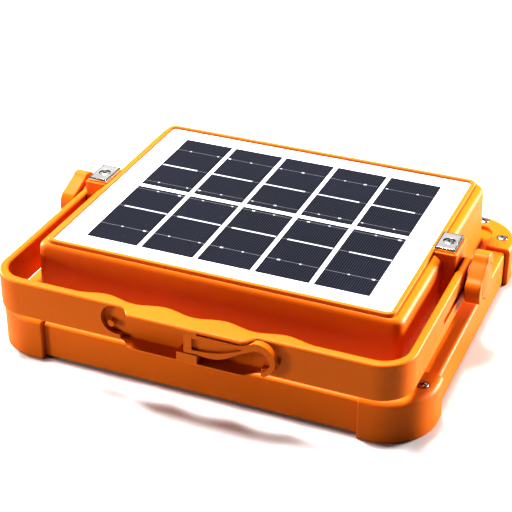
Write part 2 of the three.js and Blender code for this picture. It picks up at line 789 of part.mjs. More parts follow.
// Magnet plates with their centre screws, and the captive nuts behind the pivots
function bossFittings(parent) {
  for (const side of sides) {
    const group = new THREE.Group();
    group.position.set(side.x * magnetCentre, 0, bossTop);
    parent.add(group);
    const shape = roundedRectangle(magnetWidth, magnetLength, magnetEdge);
    const seat = magnetThickness - screwHeadHeight;
    const above = magnetThickness + cutOverrun;
    const screwAxis = { x: 0, y: 0 };
    const plate = cutBy(solidOf(pushed(shape, drawnInXY, magnetThickness, 0, smallCornerSteps)), [
      bar('z', screwShankRadius + fitGap, -cutOverrun, above, screwAxis, smallRoundSteps),
      bar('z', screwHeadRadius + fitGap, seat, above, screwAxis, smallRoundSteps),
    ]);
    part(`magnet_plate_${side.tag}`, geometryOf(plate), 'nickel', group);
    const screw = part(`magnet_screw_${side.tag}`, screwGeometry(magnetScrewLength), 'steel', group);
    screw.position.z = seat;

    const centre = { y: 0, z: pivotHeight };
    const wall = boxHalfX - wallThickness;
    const ends = [wall - nutThickness - fitGap, wall - fitGap].map((x) => side.x * x).sort((a, b) => a - b);
    const boltHole = bar('x', boltRadius + fitGap, ends[0] - cutOverrun, ends[1] + cutOverrun, centre,
      smallRoundSteps);
    const nut = bar('x', nutRadius, ends[0], ends[1], centre, hexSides).subtract(boltHole);
    part(`pivot_nut_${side.tag}`, geometryOf(nut), 'steel', parent);
  }
}

// Plan of the handle: outer edge round the front with the grip's bulge, wavy inner edge behind it
function handlePlan() {
  const outer = armOuter;
  const inner = armInner;
  const front = -handleReach;
  const back = armEndShift + handleHeight / 2;
  const radius = handleCornerRadius;
  const innerRadius = handleCornerRadius - armThickness;
  const innerFront = front + barThickness;
  const bulgeFrom = gripCentre - gripBulgeHalf;
  const bulgeTo = gripCentre + gripBulgeHalf;
  const bulged = front - gripBulge;
  const halfBlend = gripBlend / 2;
  const shape = new THREE.Shape();
  shape.moveTo(-outer, back);
  shape.lineTo(-outer, front + radius);
  shape.absarc(-outer + radius, front + radius, radius, Math.PI, Math.PI * 1.5);
  shape.lineTo(bulgeFrom - gripBlend, front);
  shape.bezierCurveTo(bulgeFrom - halfBlend, front, bulgeFrom - halfBlend, bulged, bulgeFrom, bulged);
  shape.lineTo(bulgeTo, bulged);
  shape.bezierCurveTo(bulgeTo + halfBlend, bulged, bulgeTo + halfBlend, front, bulgeTo + gripBlend, front);
  shape.lineTo(outer - radius, front);
  shape.absarc(outer - radius, front + radius, radius, Math.PI * 1.5, Math.PI * 2);
  shape.lineTo(outer, back);
  shape.lineTo(inner, back);
  shape.lineTo(inner, innerFront + innerRadius);
  shape.absarc(inner - innerRadius, innerFront + innerRadius, innerRadius, 0, -Math.PI / 2, true);
  const steps = waveCount * waveSteps;
  const waveHalf = waveCount * wavePitch / 2;
  for (let step = 0; step <= steps; step += 1) {
    const along = waveHalf - (step / steps) * 2 * waveHalf;
    const swell = waveHeight * (1 - Math.cos(2 * Math.PI * along / wavePitch));
    shape.lineTo(gripCentre + along, innerFront + swell);
  }
  shape.lineTo(-inner + innerRadius, innerFront);
  shape.absarc(-inner + innerRadius, innerFront + innerRadius, innerRadius, -Math.PI / 2, -Math.PI, true);
  shape.lineTo(-inner, back);
  shape.closePath();
  return shape;
}

// Side view of the handle, which rounds the ends of the arms
function armProfile() {
  const radius = handleHeight / 2;
  const shape = new THREE.Shape();
  shape.moveTo(-gripFront - cutOverrun, handleBottom);
  shape.lineTo(armEndShift, handleBottom);
  shape.absarc(armEndShift, handleMiddle, radius, -Math.PI / 2, Math.PI / 2);
  shape.lineTo(-gripFront - cutOverrun, handleTopLevel);
  shape.closePath();
  return shape;
}

// Front view of the hollow in the grip: a long window between the flanges with a round end each side
function gripPocket() {
  const low = handleBottom + gripFlange;
  const high = handleTopLevel - gripFlange;
  const front = -gripFront - cutOverrun;
  const floor = -handleReach + gripPocketDepth;
  const half = gripBulgeHalf + gripBlend;
  const window = block(gripCentre - half, gripCentre + half, front, floor, low, high);
  const ends = [-1, 1].map((way) => bar('y', gripEndRadius, front, floor, {
    x: gripCentre + way * (gripEndReach - gripEndRadius),
    z: handleMiddle + gripEndRise,
  }, roundSteps));
  const bandLow = handleMiddle + gripEndRise - gripEndRadius;
  const bandHalf = gripEndReach - gripEndRadius;
  const band = block(gripCentre - bandHalf, gripCentre + bandHalf, front, floor, bandLow, high);
  const reliefs = [-1, 1].map((way) => bar('y', hookCurlRadius + fitGap, front, -handleReach, {
    x: hookPivot().x + way * (hookReach - hookCurlRadius),
    z: handleTopLevel - hookCurlDrop - hookCurlRadius,
  }));
  return joined([window, band, ...ends, ...reliefs]);
}

function handleFrame(parent) {
  const plan = pushed(handlePlan(), drawnInXY, handleHeight, handleEdgeRadius);
  plan.translate(0, 0, handleBottom);
  const profile = pushed(armProfile(), drawnInYZ, 2 * (armOuter + cutOverrun));
  profile.translate(-armOuter - cutOverrun, 0, 0);
  const blank = solidOf(plan).intersect(solidOf(profile));

  const lugX = gripCentre + lugShift;
  const lugFloor = -handleReach + gripPocketDepth + weldOverlap;
  const lugFront = -gripFront;
  const flangeTop = handleTopLevel - gripFlange;
  const flangeFoot = handleBottom + gripFlange;
  const lug = (from, to) => block(lugX - lugWidth / 2, lugX + lugWidth / 2, lugFront, lugFloor, from, to);
  const lugs = [
    lug(flangeTop - upperLugDrop, flangeTop + weldOverlap),
    lug(flangeFoot - weldOverlap, flangeFoot + lowerLugRise),
  ];
  const pegFloor = -handleReach + gripPocketDepth;
  const pegs = [-1, 1].map((way) => bar('y', pegRadius, pegFloor - pegHeight, pegFloor + weldOverlap, {
    x: gripCentre + way * (gripEndReach - pegInset),
    z: handleMiddle - gripEndRise,
  }, smallRoundSteps));

  const cuts = [];
  for (const side of sides) {
    const ends = [armInner - cutOverrun, armOuter + cutOverrun].map((x) => side.x * x).sort((a, b) => a - b);
    cuts.push(bar('x', boltRadius + fitGap, ends[0], ends[1], { y: 0, z: pivotHeight }, smallRoundSteps));
    const depths = [armOuter - armGrooveDepth, armOuter + cutOverrun];
    const groove = depths.map((x) => side.x * x).sort((a, b) => a - b);
    const half = armGrooveWidth / 2;
    const tip = -armGrooveReach + half;
    cuts.push(block(groove[0], groove[1], tip, -washerRadius, handleMiddle - half, handleMiddle + half)
      .add(bar('x', half, groove[0], groove[1], { y: tip, z: handleMiddle }, smallRoundSteps)));
  }
  cuts.push(bar('z', hookPinRadius + fitGap, flangeFoot, flangeTop, hookPivot(), smallRoundSteps));
  const body = cutBy(joined([blank.subtract(gripPocket()), ...lugs, ...pegs]), cuts);
  part('handle_frame', geometryOf(body), 'orange', parent);
}

function hookPivot() {
  return { x: gripCentre + hookPivotShift, y: -gripFront + hookPivotInset };
}

// Hook seen from the front, with its pivot at x = 0 and height from the handle's bottom level
function hookOutline() {
  const low = handleBottom + gripFlange + lowerLugRise + fitGap;
  const high = handleTopLevel - gripFlange - upperLugDrop - fitGap;
  const curlX = hookReach - hookCurlRadius;
  const curlTop = handleTopLevel - hookCurlDrop;
  const curlZ = curlTop - hookCurlRadius;
  const neckX = curlX - hookCurlRadius - hookTipRadius;
  const neckTop = high - hookRim / 3;
  const innerX = hookCurlRadius - hookCurlWall;
  const innerZ = hookCurlRadius - (hookCurlWall + hookCurlTopWall) / 2;
  const innerMiddle = curlZ - (hookCurlTopWall - hookCurlWall) / 2;
  const tipAngle = Math.PI * hookTipTurnShare;
  const middleWall = hookCurlRadius - hookTipRadius;
  const lugEnd = lugShift + lugWidth / 2 - hookPivotShift + fitGap;
  const shape = new THREE.Shape();
  shape.moveTo(-hookKnuckleRadius, low);
  shape.lineTo(-hookKnuckleRadius, high);
  shape.quadraticCurveTo(neckX / 2, high, neckX, neckTop);
  shape.quadraticCurveTo(neckX + hookCurlRadius / 2, neckTop,
    curlX - hookCurlRadius / 3, curlTop - hookCurlWall / 4);
  shape.absarc(curlX, curlZ, hookCurlRadius, Math.PI * hookCurlTurnShare, tipAngle, true);
  shape.absarc(curlX + middleWall * Math.cos(tipAngle), curlZ + middleWall * Math.sin(tipAngle),
    hookTipRadius, tipAngle, tipAngle - Math.PI, true);
  shape.absellipse(curlX, innerMiddle, innerX, innerZ, tipAngle, Math.PI * hookInnerTurnShare, false, 0);
  shape.quadraticCurveTo(neckX + hookNeckWidth / 2, innerMiddle + innerZ / 2, neckX, neckTop - hookNeckWidth);
  shape.quadraticCurveTo(neckX * hookBellyShare, low - hookBelly, neckX / 2, low - hookBelly);
  shape.quadraticCurveTo((neckX / 2 + lugEnd) / 2, low - hookBelly, lugEnd, low);
  shape.closePath();
  return shape;
}

function hookPocketShape() {
  const low = handleBottom + gripFlange + lowerLugRise + fitGap + hookRim;
  const high = handleTopLevel - gripFlange - upperLugDrop - fitGap - hookRim;
  const shape = new THREE.Shape();
  shape.moveTo(hookRim, low);
  shape.lineTo(hookRim, high);
  shape.lineTo(hookPocketReach, high - hookRim / 3);
  shape.quadraticCurveTo(hookPocketReach * hookPocketTurnShare, low - hookBelly, hookRim, low);
  shape.closePath();
  return shape;
}

function hookParts(parent) {
  const pivot = hookPivot();
  const group = new THREE.Group();
  group.position.set(pivot.x, pivot.y, 0);
  parent.add(group);
  const geometry = pushed(hookOutline(), drawnInXZ, hookThickness);
  const backFace = hookThickness / 2;
  geometry.translate(0, backFace, 0);
  const skew = new THREE.Matrix4().makeShear(hookTilt, 0, 0, 0, 0, 0);
  geometry.applyMatrix4(skew);
  const pocket = pushed(hookPocketShape(), drawnInXZ, hookPocketDepth + cutOverrun);
  pocket.translate(0, -backFace + hookPocketDepth, 0);
  pocket.applyMatrix4(skew);
  const low = handleBottom + gripFlange + lowerLugRise + fitGap;
  const high = handleTopLevel - gripFlange - upperLugDrop - fitGap;
  const centre = { x: 0, y: 0 };
  const body = cutBy(solidOf(geometry), [
    solidOf(pocket),
    bar('z', hookPinRadius + fitGap, low - cutOverrun, high + cutOverrun, centre, smallRoundSteps),
  ]);
  part('hook', geometryOf(body), 'orange', group);
  const pinFrom = handleBottom + gripFlange + fitGap;
  const pinTo = handleTopLevel - gripFlange - fitGap;
  const pin = bar('z', hookPinRadius, pinFrom, pinTo, centre, smallRoundSteps);
  part('hook_pin', geometryOf(pin), 'steel', group);
}

// Three-lobed clamping knob drawn round its axis in the YZ plane
function knobShape() {
  const shape = new THREE.Shape();
  const middle = (knobRadius + knobValley) / 2;
  const half = (knobRadius - knobValley) / 2;
  const steps = knobLobes * knobLobeSteps;
  for (let step = 0; step <= steps; step += 1) {
    const angle = (step / steps) * 2 * Math.PI;
    const wave = Math.cos(knobLobes * angle);
    const radius = middle + half * Math.sign(wave) * Math.sqrt(Math.abs(wave));
    const [y, z] = [radius * Math.cos(angle), radius * Math.sin(angle)];
    if (step === 0) shape.moveTo(y, z);
    else if (step < steps) shape.lineTo(y, z);
  }
  shape.closePath();
  return shape;
}

function knobs(parent) {
  for (const side of sides) {
    const group = new THREE.Group();
    group.position.set(side.x * knobInner, 0, pivotHeight);
    group.rotation.y = side.x > 0 ? 0 : Math.PI;
    parent.add(group);
    const turn = new THREE.Matrix4().makeRotationX(knobTurnShare * 2 * Math.PI);
    const geometry = pushed(knobShape(), drawnInYZ, knobThickness, knobEdgeRadius);
    geometry.applyMatrix4(turn);
    const headFloor = knobThickness - knobCapThickness - fitGap - boltHeadThickness;
    const axis = { y: 0, z: 0 };
    const capSeat = knobThickness - knobCapThickness;
    const body = cutBy(solidOf(geometry), [
      bar('x', boltRadius + fitGap, -cutOverrun, knobThickness + cutOverrun, axis, smallRoundSteps),
      bar('x', boltHeadRadius + fitGap, headFloor, knobThickness + cutOverrun, axis, hexSides),
      bar('x', knobCapRadius + fitGap, capSeat, knobThickness + cutOverrun, axis),
    ]);
    part(`knob_${side.tag}`, geometryOf(body), 'orange', group);

    const cap = turned([
      [0, 0],
      [knobCapRadius, 0],
      [knobCapRadius, knobCapThickness],
      [knobCapRadius * knobCapFlatShare, knobCapThickness + knobCapCrown * knobCapCrownShare],
      [0, knobCapThickness + knobCapCrown],
    ], roundSteps);
    cap.rotateY(Math.PI / 2);
    const capMesh = part(`knob_cap_${side.tag}`, cap, 'orangeDark', group);
    capMesh.position.x = capSeat;

    const shankFrom = boxHalfX - wallThickness - nutThickness - fitGap - boltTail - knobInner;
    const bolt = bar('x', boltRadius, shankFrom, headFloor + weldOverlap, axis, smallRoundSteps)
      .add(bar('x', boltHeadRadius, headFloor, headFloor + boltHeadThickness, axis, hexSides));
    part(`pivot_bolt_${side.tag}`, geometryOf(bolt), 'steel', group);

    const washerFrom = washerInner - knobInner;
    const washerTo = washerFrom + washerThickness;
    const washerHole = bar('x', boltRadius + fitGap, washerFrom - cutOverrun, washerTo + cutOverrun, axis,
      smallRoundSteps);
    const washer = bar('x', washerRadius, washerFrom, washerTo, axis).subtract(washerHole);
    part(`pivot_washer_${side.tag}`, geometryOf(washer), 'rubber', group);
  }
}

// Ports with their cover, the power button and the charge gauge in the rear wall
function rearControls(parent) {
  const ports = rearWallPlaces();
  const innerY = boxHalfY - wallThickness;
  const socketFace = innerY - portRecessDepth - fitGap;
  const centreA = portCentreX - socketPitch / 2;
  const centreC = portCentreX + socketPitch / 2;
  const mouthA = onRearWall(portShape(socketAMouthWidth, socketAMouthHeight, fitGap, centreA),
    socketFace - socketAMouthDepth, socketFace + cutOverrun);
  const shellA = onRearWall(portShape(socketAWidth, socketAHeight, fitGap, centreA),
    socketFace - socketADepth, socketFace);
  part('usb_a_socket', geometryOf(shellA.subtract(mouthA)), 'steel', parent);
  const innerC = { width: socketCWidth - 2 * socketCWall, height: socketCHeight - 2 * socketCWall };
  const mouthC = onRearWall(portShape(innerC.width, innerC.height, innerC.height / 2, centreC),
    socketFace - socketCMouthDepth, socketFace + cutOverrun);
  const shellC = onRearWall(portShape(socketCWidth, socketCHeight, socketCHeight / 2, centreC),
    socketFace - socketCDepth, socketFace);
  const footFrom = ports.middle + socketCHeight / 2 - socketCWall;
  const footTo = ports.boardTop - controlThickness;
  const foot = block(centreC - socketCWidth / 4, centreC + socketCWidth / 4, socketFace - socketCDepth,
    socketFace - socketCMouthDepth, footFrom, footTo);
  part('usb_c_socket', geometryOf(shellC.add(foot).subtract(mouthC)), 'steel', parent);

  const coverInner = boxHalfY - portRecessDepth + fitGap;
  const coverShape = portShape(portRecessWidth - 2 * fitGap, portRecessHeight - 2 * fitGap,
    portCornerRadius - fitGap, portCentreX);
  const cover = onRearWall(coverShape, coverInner, boxHalfY);
  const tabLevel = ports.middle + portRecessHeight / 2 - portCoverTab;
  const tabShape = roundedRectangle(portCoverTab * 2, portCoverTab, portCoverTab / 3, portCentreX, tabLevel);
  const tab = onRearWall(tabShape, coverInner, boxHalfY + portCoverProud);
  part('port_cover', geometryOf(cover.add(tab)), 'rubber', parent);

  const buttonInner = innerY - buttonFlange - fitGap;
  const button = turned([
    [0, 0],
    [buttonRadius + buttonFlange, 0],
    [buttonRadius + buttonFlange, buttonFlange],
    [buttonRadius, buttonFlange],
    [buttonRadius, boxHalfY + buttonProud - buttonInner - buttonCrown],
    [buttonRadius - buttonCrown, boxHalfY + buttonProud - buttonInner],
    [0, boxHalfY + buttonProud - buttonInner],
  ], roundSteps);
  button.rotateX(-Math.PI / 2);
  const buttonMesh = part('power_button', button, 'rubber', parent);
  buttonMesh.position.set(buttonCentreX, buttonInner, ports.middle);

  const switchFace = buttonInner - buttonTravel - fitGap;
  const top = ports.boardTop - controlThickness;
  part('switch_body', geometryOf(block(buttonCentreX - switchWidth / 2, buttonCentreX + switchWidth / 2,
    switchFace - switchDepth, switchFace, top - switchHeight, top)), 'black', parent);

  const windowShape = portShape(gaugeWidth, gaugeHeight, gaugeHeight / 2 - fitGap, gaugeCentreX);
  const flangeShape = portShape(gaugeWidth + gaugeHeight, gaugeHeight * 2, gaugeHeight / 2, gaugeCentreX);
  const gauge = onRearWall(windowShape, innerY - fitGap - weldOverlap, boxHalfY)
    .add(onRearWall(flangeShape, innerY - fitGap - buttonFlange, innerY - fitGap));
  part('gauge_window', geometryOf(gauge), 'clear', parent);
}

function controlBoard(parent) {
  const ports = rearWallPlaces();
  const rear = boxHalfY - wallThickness - controlWallGap;
  const board = block(-controlWidth / 2, controlWidth / 2, rear - controlDepth, rear,
    ports.boardTop - controlThickness, ports.boardTop);
  part('control_board', geometryOf(board), 'boardGreen', parent);
}

// Battery holder standing on the heat spreader, with its round cells side by side
function batteryPack(parent) {
  const floor = spreaderTop + fitGap;
  const axisLevel = floor + holderFloor + fitGap + batteryRadius;
  const halfX = batteryCount * batteryPitch / 2 + holderEnd;
  const halfY = batteryLength / 2 + batteryButtonHeight + fitGap + holderEnd;
  const saddleTop = floor + holderFloor + holderSaddle;
  const ends = [-1, 1].map((way) => {
    const edges = [way * halfY, way * (halfY - holderEnd)].sort((a, b) => a - b);
    return block(-halfX, halfX, batteryShiftY + edges[0], batteryShiftY + edges[1], floor, axisLevel);
  });
  const base = block(-halfX, halfX, batteryShiftY - halfY, batteryShiftY + halfY, floor, saddleTop);
  const places = [];
  for (let k = 0; k < batteryCount; k += 1) places.push((k - (batteryCount - 1) / 2) * batteryPitch);
  const from = batteryShiftY - halfY + holderEnd;
  const to = batteryShiftY + halfY - holderEnd;
  const grooveRadius = batteryRadius + fitGap;
  const grooves = places.map((x) => bar('y', grooveRadius, from, to, { x, z: axisLevel }, batteryRound));
  part('battery_holder', geometryOf(cutBy(base, grooves).add(joined(ends))), 'black', parent);
  places.forEach((x, k) => {
    const cell = turned([
      [0, 0],
      [batteryRadius, 0],
      [batteryRadius, batteryLength],
      [batteryButtonRadius, batteryLength],
      [batteryButtonRadius, batteryLength + batteryButtonHeight],
      [0, batteryLength + batteryButtonHeight],
    ], batteryRound);
    cell.rotateX(-Math.PI / 2);
    cell.translate(0, -(batteryLength + batteryButtonHeight) / 2, 0);
    const mesh = part(`battery_cell_${k + 1}`, cell, 'batteryWrap', parent);
    mesh.position.set(x, batteryShiftY, axisLevel);
    mesh.rotation.z = k % 2 ? Math.PI : 0;
  });
}

const workLight = new THREE.Group();
workLight.position.y = originShiftY;
rearHousing(workLight);
lightSource(workLight);
cornerGuards(workLight);
solarPanel(workLight);
bossFittings(workLight);
controlBoard(workLight);
batteryPack(workLight);
rearControls(workLight);
handleFrame(workLight);
hookParts(workLight);
knobs(workLight);

const solarWorkLight = new THREE.Group();
solarWorkLight.add(workLight);

export default solarWorkLight;
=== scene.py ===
"""Looks of the portable solar work light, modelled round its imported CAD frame.

Sizes are in millimetres of the lamp's own frame, whose Y is counted from the middle of the solar panel.
"""

import logging
import math
from dataclasses import dataclass
from enum import Enum
from typing import Callable, Iterable, Sequence

import bmesh
import bpy
from mathutils import Matrix, Vector


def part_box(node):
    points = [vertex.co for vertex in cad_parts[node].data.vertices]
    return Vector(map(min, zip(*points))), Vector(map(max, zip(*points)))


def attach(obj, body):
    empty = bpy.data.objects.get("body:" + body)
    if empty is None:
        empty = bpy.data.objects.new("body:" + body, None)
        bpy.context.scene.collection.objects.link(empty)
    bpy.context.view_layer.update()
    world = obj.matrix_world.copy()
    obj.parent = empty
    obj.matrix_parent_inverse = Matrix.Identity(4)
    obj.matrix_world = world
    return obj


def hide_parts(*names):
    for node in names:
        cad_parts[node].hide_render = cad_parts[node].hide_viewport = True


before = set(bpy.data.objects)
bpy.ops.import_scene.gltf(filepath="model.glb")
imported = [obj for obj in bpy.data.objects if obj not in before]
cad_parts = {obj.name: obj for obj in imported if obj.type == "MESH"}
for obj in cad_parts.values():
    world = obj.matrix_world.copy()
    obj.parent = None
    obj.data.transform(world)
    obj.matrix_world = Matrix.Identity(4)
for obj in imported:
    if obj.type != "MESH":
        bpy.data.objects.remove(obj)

MM = 0.001

# Clearance of a fit, overrun of a cut, overlap of a join, and the space between the rings of a loft while
# they are joined.
FIT = 0.3
OVERRUN = 1.0
WELD = 0.5
SPREAD = 50.0

# Lengths under which two places, a run or a rise count as none.
NEAR = 1e-4
TINY = 1e-5
LEVEL = 1e-6

# Facets of roundings and corners.
FEW_STEPS = 2
SOFT_STEPS = 3
SMALL_CORNER_STEPS = 4
EDGE_STEPS = 6
WIDE_STEPS = 8
CORNER_STEPS = 12
GUARD_CORNER_STEPS = 20

# Sides of holes and turned pieces.
SCREW_HOLE_STEPS = 20
BORE_STEPS = 24
HOLE_STEPS = 32
SCREW_STEPS = 40
ROUND_STEPS = 48
FINE_STEPS = 64

# Sockets of a colour Mix node: its share, its two colours and what comes out.
MIX_SHARE, MIX_FIRST, MIX_SECOND, MIX_COLOUR = 0, 6, 7, 2

NORMAL_WEIGHT = 60
LOG = logging.getLogger("work_light")


def panel_middle() -> Vector:
    """Place of the lamp's own origin in the row frame, in metres.

    Returns:
        The middle of the panel board at bench height.
    """
    low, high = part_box("panel_board")
    return Vector(((low.x + high.x) / 2, (low.y + high.y) / 2, 0.0))


class Body(Enum):
    """CAD body that a piece rides on."""

    LAMP = "lamp"
    HANDLE = "handle"
    HOOK = "hook"
    KNOB_LEFT = "knob_left"
    KNOB_RIGHT = "knob_right"
    BUTTON = "button"
    COVER = "cover"


class Slot(Enum):
    """Material slot of the record that a piece takes its finish from."""

    ORANGE = "orange"
    TRIM = "orange_trim"
    PANEL = "panel_white"
    CELL = "solar_cell"
    STEEL = "steel"
    NICKEL = "nickel"
    CLEAR = "clear"
    RUBBER = "rubber"


class Combine(Enum):
    """How a second solid acts on a first one."""

    CUT = "DIFFERENCE"
    JOIN = "UNION"
    MEET = "INTERSECT"


class Solid:
    """A mesh in the making, in millimetres of the lamp's own frame."""

    def __init__(self) -> None:
        """Starts with an empty bmesh."""
        self.mesh = bmesh.new()

    def block(self, low: Sequence[float], high: Sequence[float], edge: float = 0.0,
              steps: int = SOFT_STEPS) -> "Solid":
        """Adds a block between two corners.

        Args:
            low: Lowest corner.
            high: Highest corner.
            edge: Radius that its edges are rounded with.
            steps: Facets of that rounding.

        Returns:
            This solid.
        """
        made = bmesh.ops.create_cube(self.mesh, size=1.0)["verts"]
        size = [b - a for a, b in zip(low, high)]
        middle = [(a + b) / 2 for a, b in zip(low, high)]
        bmesh.ops.scale(self.mesh, vec=size, verts=made)
        bmesh.ops.translate(self.mesh, vec=middle, verts=made)
        if edge > 0:
            edges = list({e for v in made for e in v.link_edges})
            bmesh.ops.bevel(self.mesh, geom=edges, offset=edge, offset_type="OFFSET", segments=steps,
                            profile=0.5, affect="EDGES", material=-1)
        return self

    def bar(self, axis: str, radius: float, start: float, end: float, centre: Sequence[float],
            steps: int = ROUND_STEPS, edge: float = 0.0, edge_steps: int = SOFT_STEPS) -> "Solid":
        """Adds a round bar along one axis.

        Args:
            axis: One of x, y and z.
            radius: Its radius.
            start: Its lowest place on the axis.
            end: Its highest place on the axis.
            centre: The two other coordinates, in alphabetical order.
            steps: Sides of its circle.
            edge: Radius that its two rims are rounded with.
            edge_steps: Facets of that rounding.

        Returns:
            This solid.
        """
        made = bmesh.ops.create_cone(self.mesh, cap_ends=True, cap_tris=False, segments=steps,
                                     radius1=radius, radius2=radius, depth=end - start)["verts"]
        if edge > 0:
            rims = [e for e in {e for v in made for e in v.link_edges}
                    if abs(e.verts[0].co.z - e.verts[1].co.z) < LEVEL]
            made = bmesh.ops.bevel(self.mesh, geom=rims, offset=edge, offset_type="OFFSET",
                                   segments=edge_steps, profile=0.5, affect="EDGES", material=-1)["verts"]
            made = list({v for face in {f for w in made for f in w.link_faces} for v in face.verts})
        middle = (start + end) / 2
        place = {"x": (middle, centre[0], centre[1]), "y": (centre[0], middle, centre[1]),
                 "z": (centre[0], centre[1], middle)}[axis]
        turn = {"x": Matrix.Rotation(math.pi / 2, 3, "Y"), "y": Matrix.Rotation(math.pi / 2, 3, "X"),
                "z": Matrix.Identity(3)}[axis]
        bmesh.ops.rotate(self.mesh, cent=(0, 0, 0), matrix=turn, verts=made)
        bmesh.ops.translate(self.mesh, vec=place, verts=made)
        return self

    def ring(self, half_x: float, half_y: float, radius: float, level: float,
             steps: int = CORNER_STEPS, centre: Sequence[float] = (0.0, 0.0)) -> bmesh.types.BMFace:
        """Adds a level face with rounded corners.

        Args:
            half_x: Half its length in X.
            half_y: Half its length in Y.
            radius: Its corner radius.
            level: Its height.
            steps: Facets of each corner.
            centre: Its middle.

        Returns:
            The face.
        """
        made = bmesh.ops.create_grid(self.mesh, x_segments=1, y_segments=1, size=1.0)["verts"]
        bmesh.ops.scale(self.mesh, vec=(half_x, half_y, 1.0), verts=made)
        bmesh.ops.translate(self.mesh, vec=(centre[0], centre[1], level), verts=made)
        face = made[0].link_faces[0]
        if radius > 0:
            done = bmesh.ops.bevel(self.mesh, geom=made, offset=radius, offset_type="OFFSET", segments=steps,
                                   profile=0.5, affect="VERTICES", material=-1)
            face = max((f for v in done["verts"] for f in v.link_faces), key=lambda f: len(f.verts))
        return face

    def loft(self, rings: Iterable[Sequence[float]], steps: int = CORNER_STEPS,
             centre: Sequence[float] = (0.0, 0.0)) -> "Solid":
        """Adds a closed skin over a chain of rounded rings, capped at both ends.

        Args:
            rings: Half length in X, half length in Y, corner radius and height of each ring.
            steps: Facets of each corner.
            centre: The middle of the rings.

        Returns:
            This solid.
        """
        sizes = list(rings)
        faces = [self.ring(*size[:3], SPREAD * k, steps, centre) for k, size in enumerate(sizes)]
        loops = [list(face.edges) for face in faces]
        levels = [(list(face.verts), size[3] - SPREAD * k)
                  for k, (face, size) in enumerate(zip(faces, sizes))]
        bmesh.ops.delete(self.mesh, geom=faces[1:-1], context="FACES_ONLY")
        for lower, upper in zip(loops, loops[1:]):
            bmesh.ops.bridge_loops(self.mesh, edges=lower + upper)
        for verts, drop in levels:
            bmesh.ops.translate(self.mesh, vec=(0, 0, drop), verts=verts)
        bmesh.ops.recalc_face_normals(self.mesh, faces=self.mesh.faces)
        return self

    def turn(self, profile: Sequence[Sequence[float]], steps: int = ROUND_STEPS) -> "Solid":
        """Adds a piece turned about Z from a profile that starts and ends on the axis.

        Args:
            profile: Radius and height of each point.
            steps: Sides of a full turn.

        Returns:
            This solid.
        """
        pen = Pen(self.mesh, (profile[0][0], 0.0, profile[0][1]))
        for radius, height in profile[1:]:
            pen.line((radius, 0.0, height))
        bmesh.ops.spin(self.mesh, geom=pen.verts + pen.edges, cent=(0, 0, 0), axis=(0, 0, 1), dvec=(0, 0, 0),
                       angle=math.tau, steps=steps, use_merge=True, use_normal_flip=False,
                       use_duplicate=False)
        bmesh.ops.remove_doubles(self.mesh, verts=self.mesh.verts, dist=NEAR)
        bmesh.ops.dissolve_degenerate(self.mesh, dist=TINY, edges=self.mesh.edges)
        bmesh.ops.recalc_face_normals(self.mesh, faces=self.mesh.faces)
        return self

    def raise_face(self, face: bmesh.types.BMFace, depth: Sequence[float]) -> "Solid":
        """Pushes a flat face through a depth to make it solid.

        Args:
            face: The face.
            depth: Where it is pushed to, from where it is.

        Returns:
            This solid.
        """
        far = bmesh.ops.extrude_face_region(self.mesh, geom=[face], use_keep_orig=True)["geom"]
        bmesh.ops.translate(self.mesh, vec=depth, verts=[g for g in far if isinstance(g, bmesh.types.BMVert)])
        bmesh.ops.recalc_face_normals(self.mesh, faces=self.mesh.faces)
        return self

    def round_edges(self, radius: float, steps: int, chosen: Callable[[bmesh.types.BMEdge], bool]) -> "Solid":
        """Rounds the edges that a test picks.

        Args:
            radius: Radius of the rounding.
            steps: Its facets.
            chosen: Says if an edge is rounded.

        Returns:
            This solid.
        """
        edges = [e for e in self.mesh.edges if chosen(e)]
        bmesh.ops.bevel(self.mesh, geom=edges, offset=radius, offset_type="OFFSET", segments=steps,
                        profile=0.5, affect="EDGES", clamp_overlap=True, material=-1)
        return self

    def move(self, place: Sequence[float] = (0, 0, 0), turn: Matrix | None = None,
             scale: Sequence[float] = (1, 1, 1)) -> "Solid":
        """Scales, turns and then moves the whole solid.

        Args:
            place: How far it moves.
            turn: Rotation about the origin, if any.
            scale: Its scale on each axis. A mirrored solid gets its normals back.

        Returns:
            This solid.
        """
        bmesh.ops.scale(self.mesh, vec=scale, verts=self.mesh.verts)
        if turn is not None:
            bmesh.ops.rotate(self.mesh, cent=(0, 0, 0), matrix=turn, verts=self.mesh.verts)
        bmesh.ops.translate(self.mesh, vec=place, verts=self.mesh.verts)
        if scale[0] * scale[1] * scale[2] < 0:
            bmesh.ops.reverse_faces(self.mesh, faces=self.mesh.faces)
        return self

    def copy(self) -> "Solid":
        """Copies the solid.

        Returns:
            A second solid of the same shape.
        """
        twin = Solid()
        twin.mesh.free()
        twin.mesh = self.mesh.copy()
        return twin

    def with_solid(self, other: "Solid", how: Combine) -> "Solid":
        """Cuts, joins or meets this solid with another, which is used up.

        Args:
            other: The other solid.
            how: What happens.

        Returns:
            This solid.
        """
        pair = [solid.as_object("combine", in_metres=False) for solid in (self, other)]
        modifier = pair[0].modifiers.new("combine", "BOOLEAN")
        modifier.operation = how.value
        modifier.solver = "MANIFOLD"
        modifier.object = pair[1]
        graph = bpy.context.evaluated_depsgraph_get()
        done = bpy.data.meshes.new_from_object(pair[0].evaluated_get(graph))
        self.mesh = bmesh.new()
        self.mesh.from_mesh(done)
        bpy.data.meshes.remove(done)
        for used in pair:
            data = used.data
            bpy.data.objects.remove(used)
            bpy.data.meshes.remove(data)
        return self

    def cut(self, other: "Solid") -> "Solid":
        """Takes another solid out of this one and returns it."""
        return self.with_solid(other, Combine.CUT)

    def join(self, other: "Solid") -> "Solid":
        """Adds another solid to this one and returns it."""
        return self.with_solid(other, Combine.JOIN)

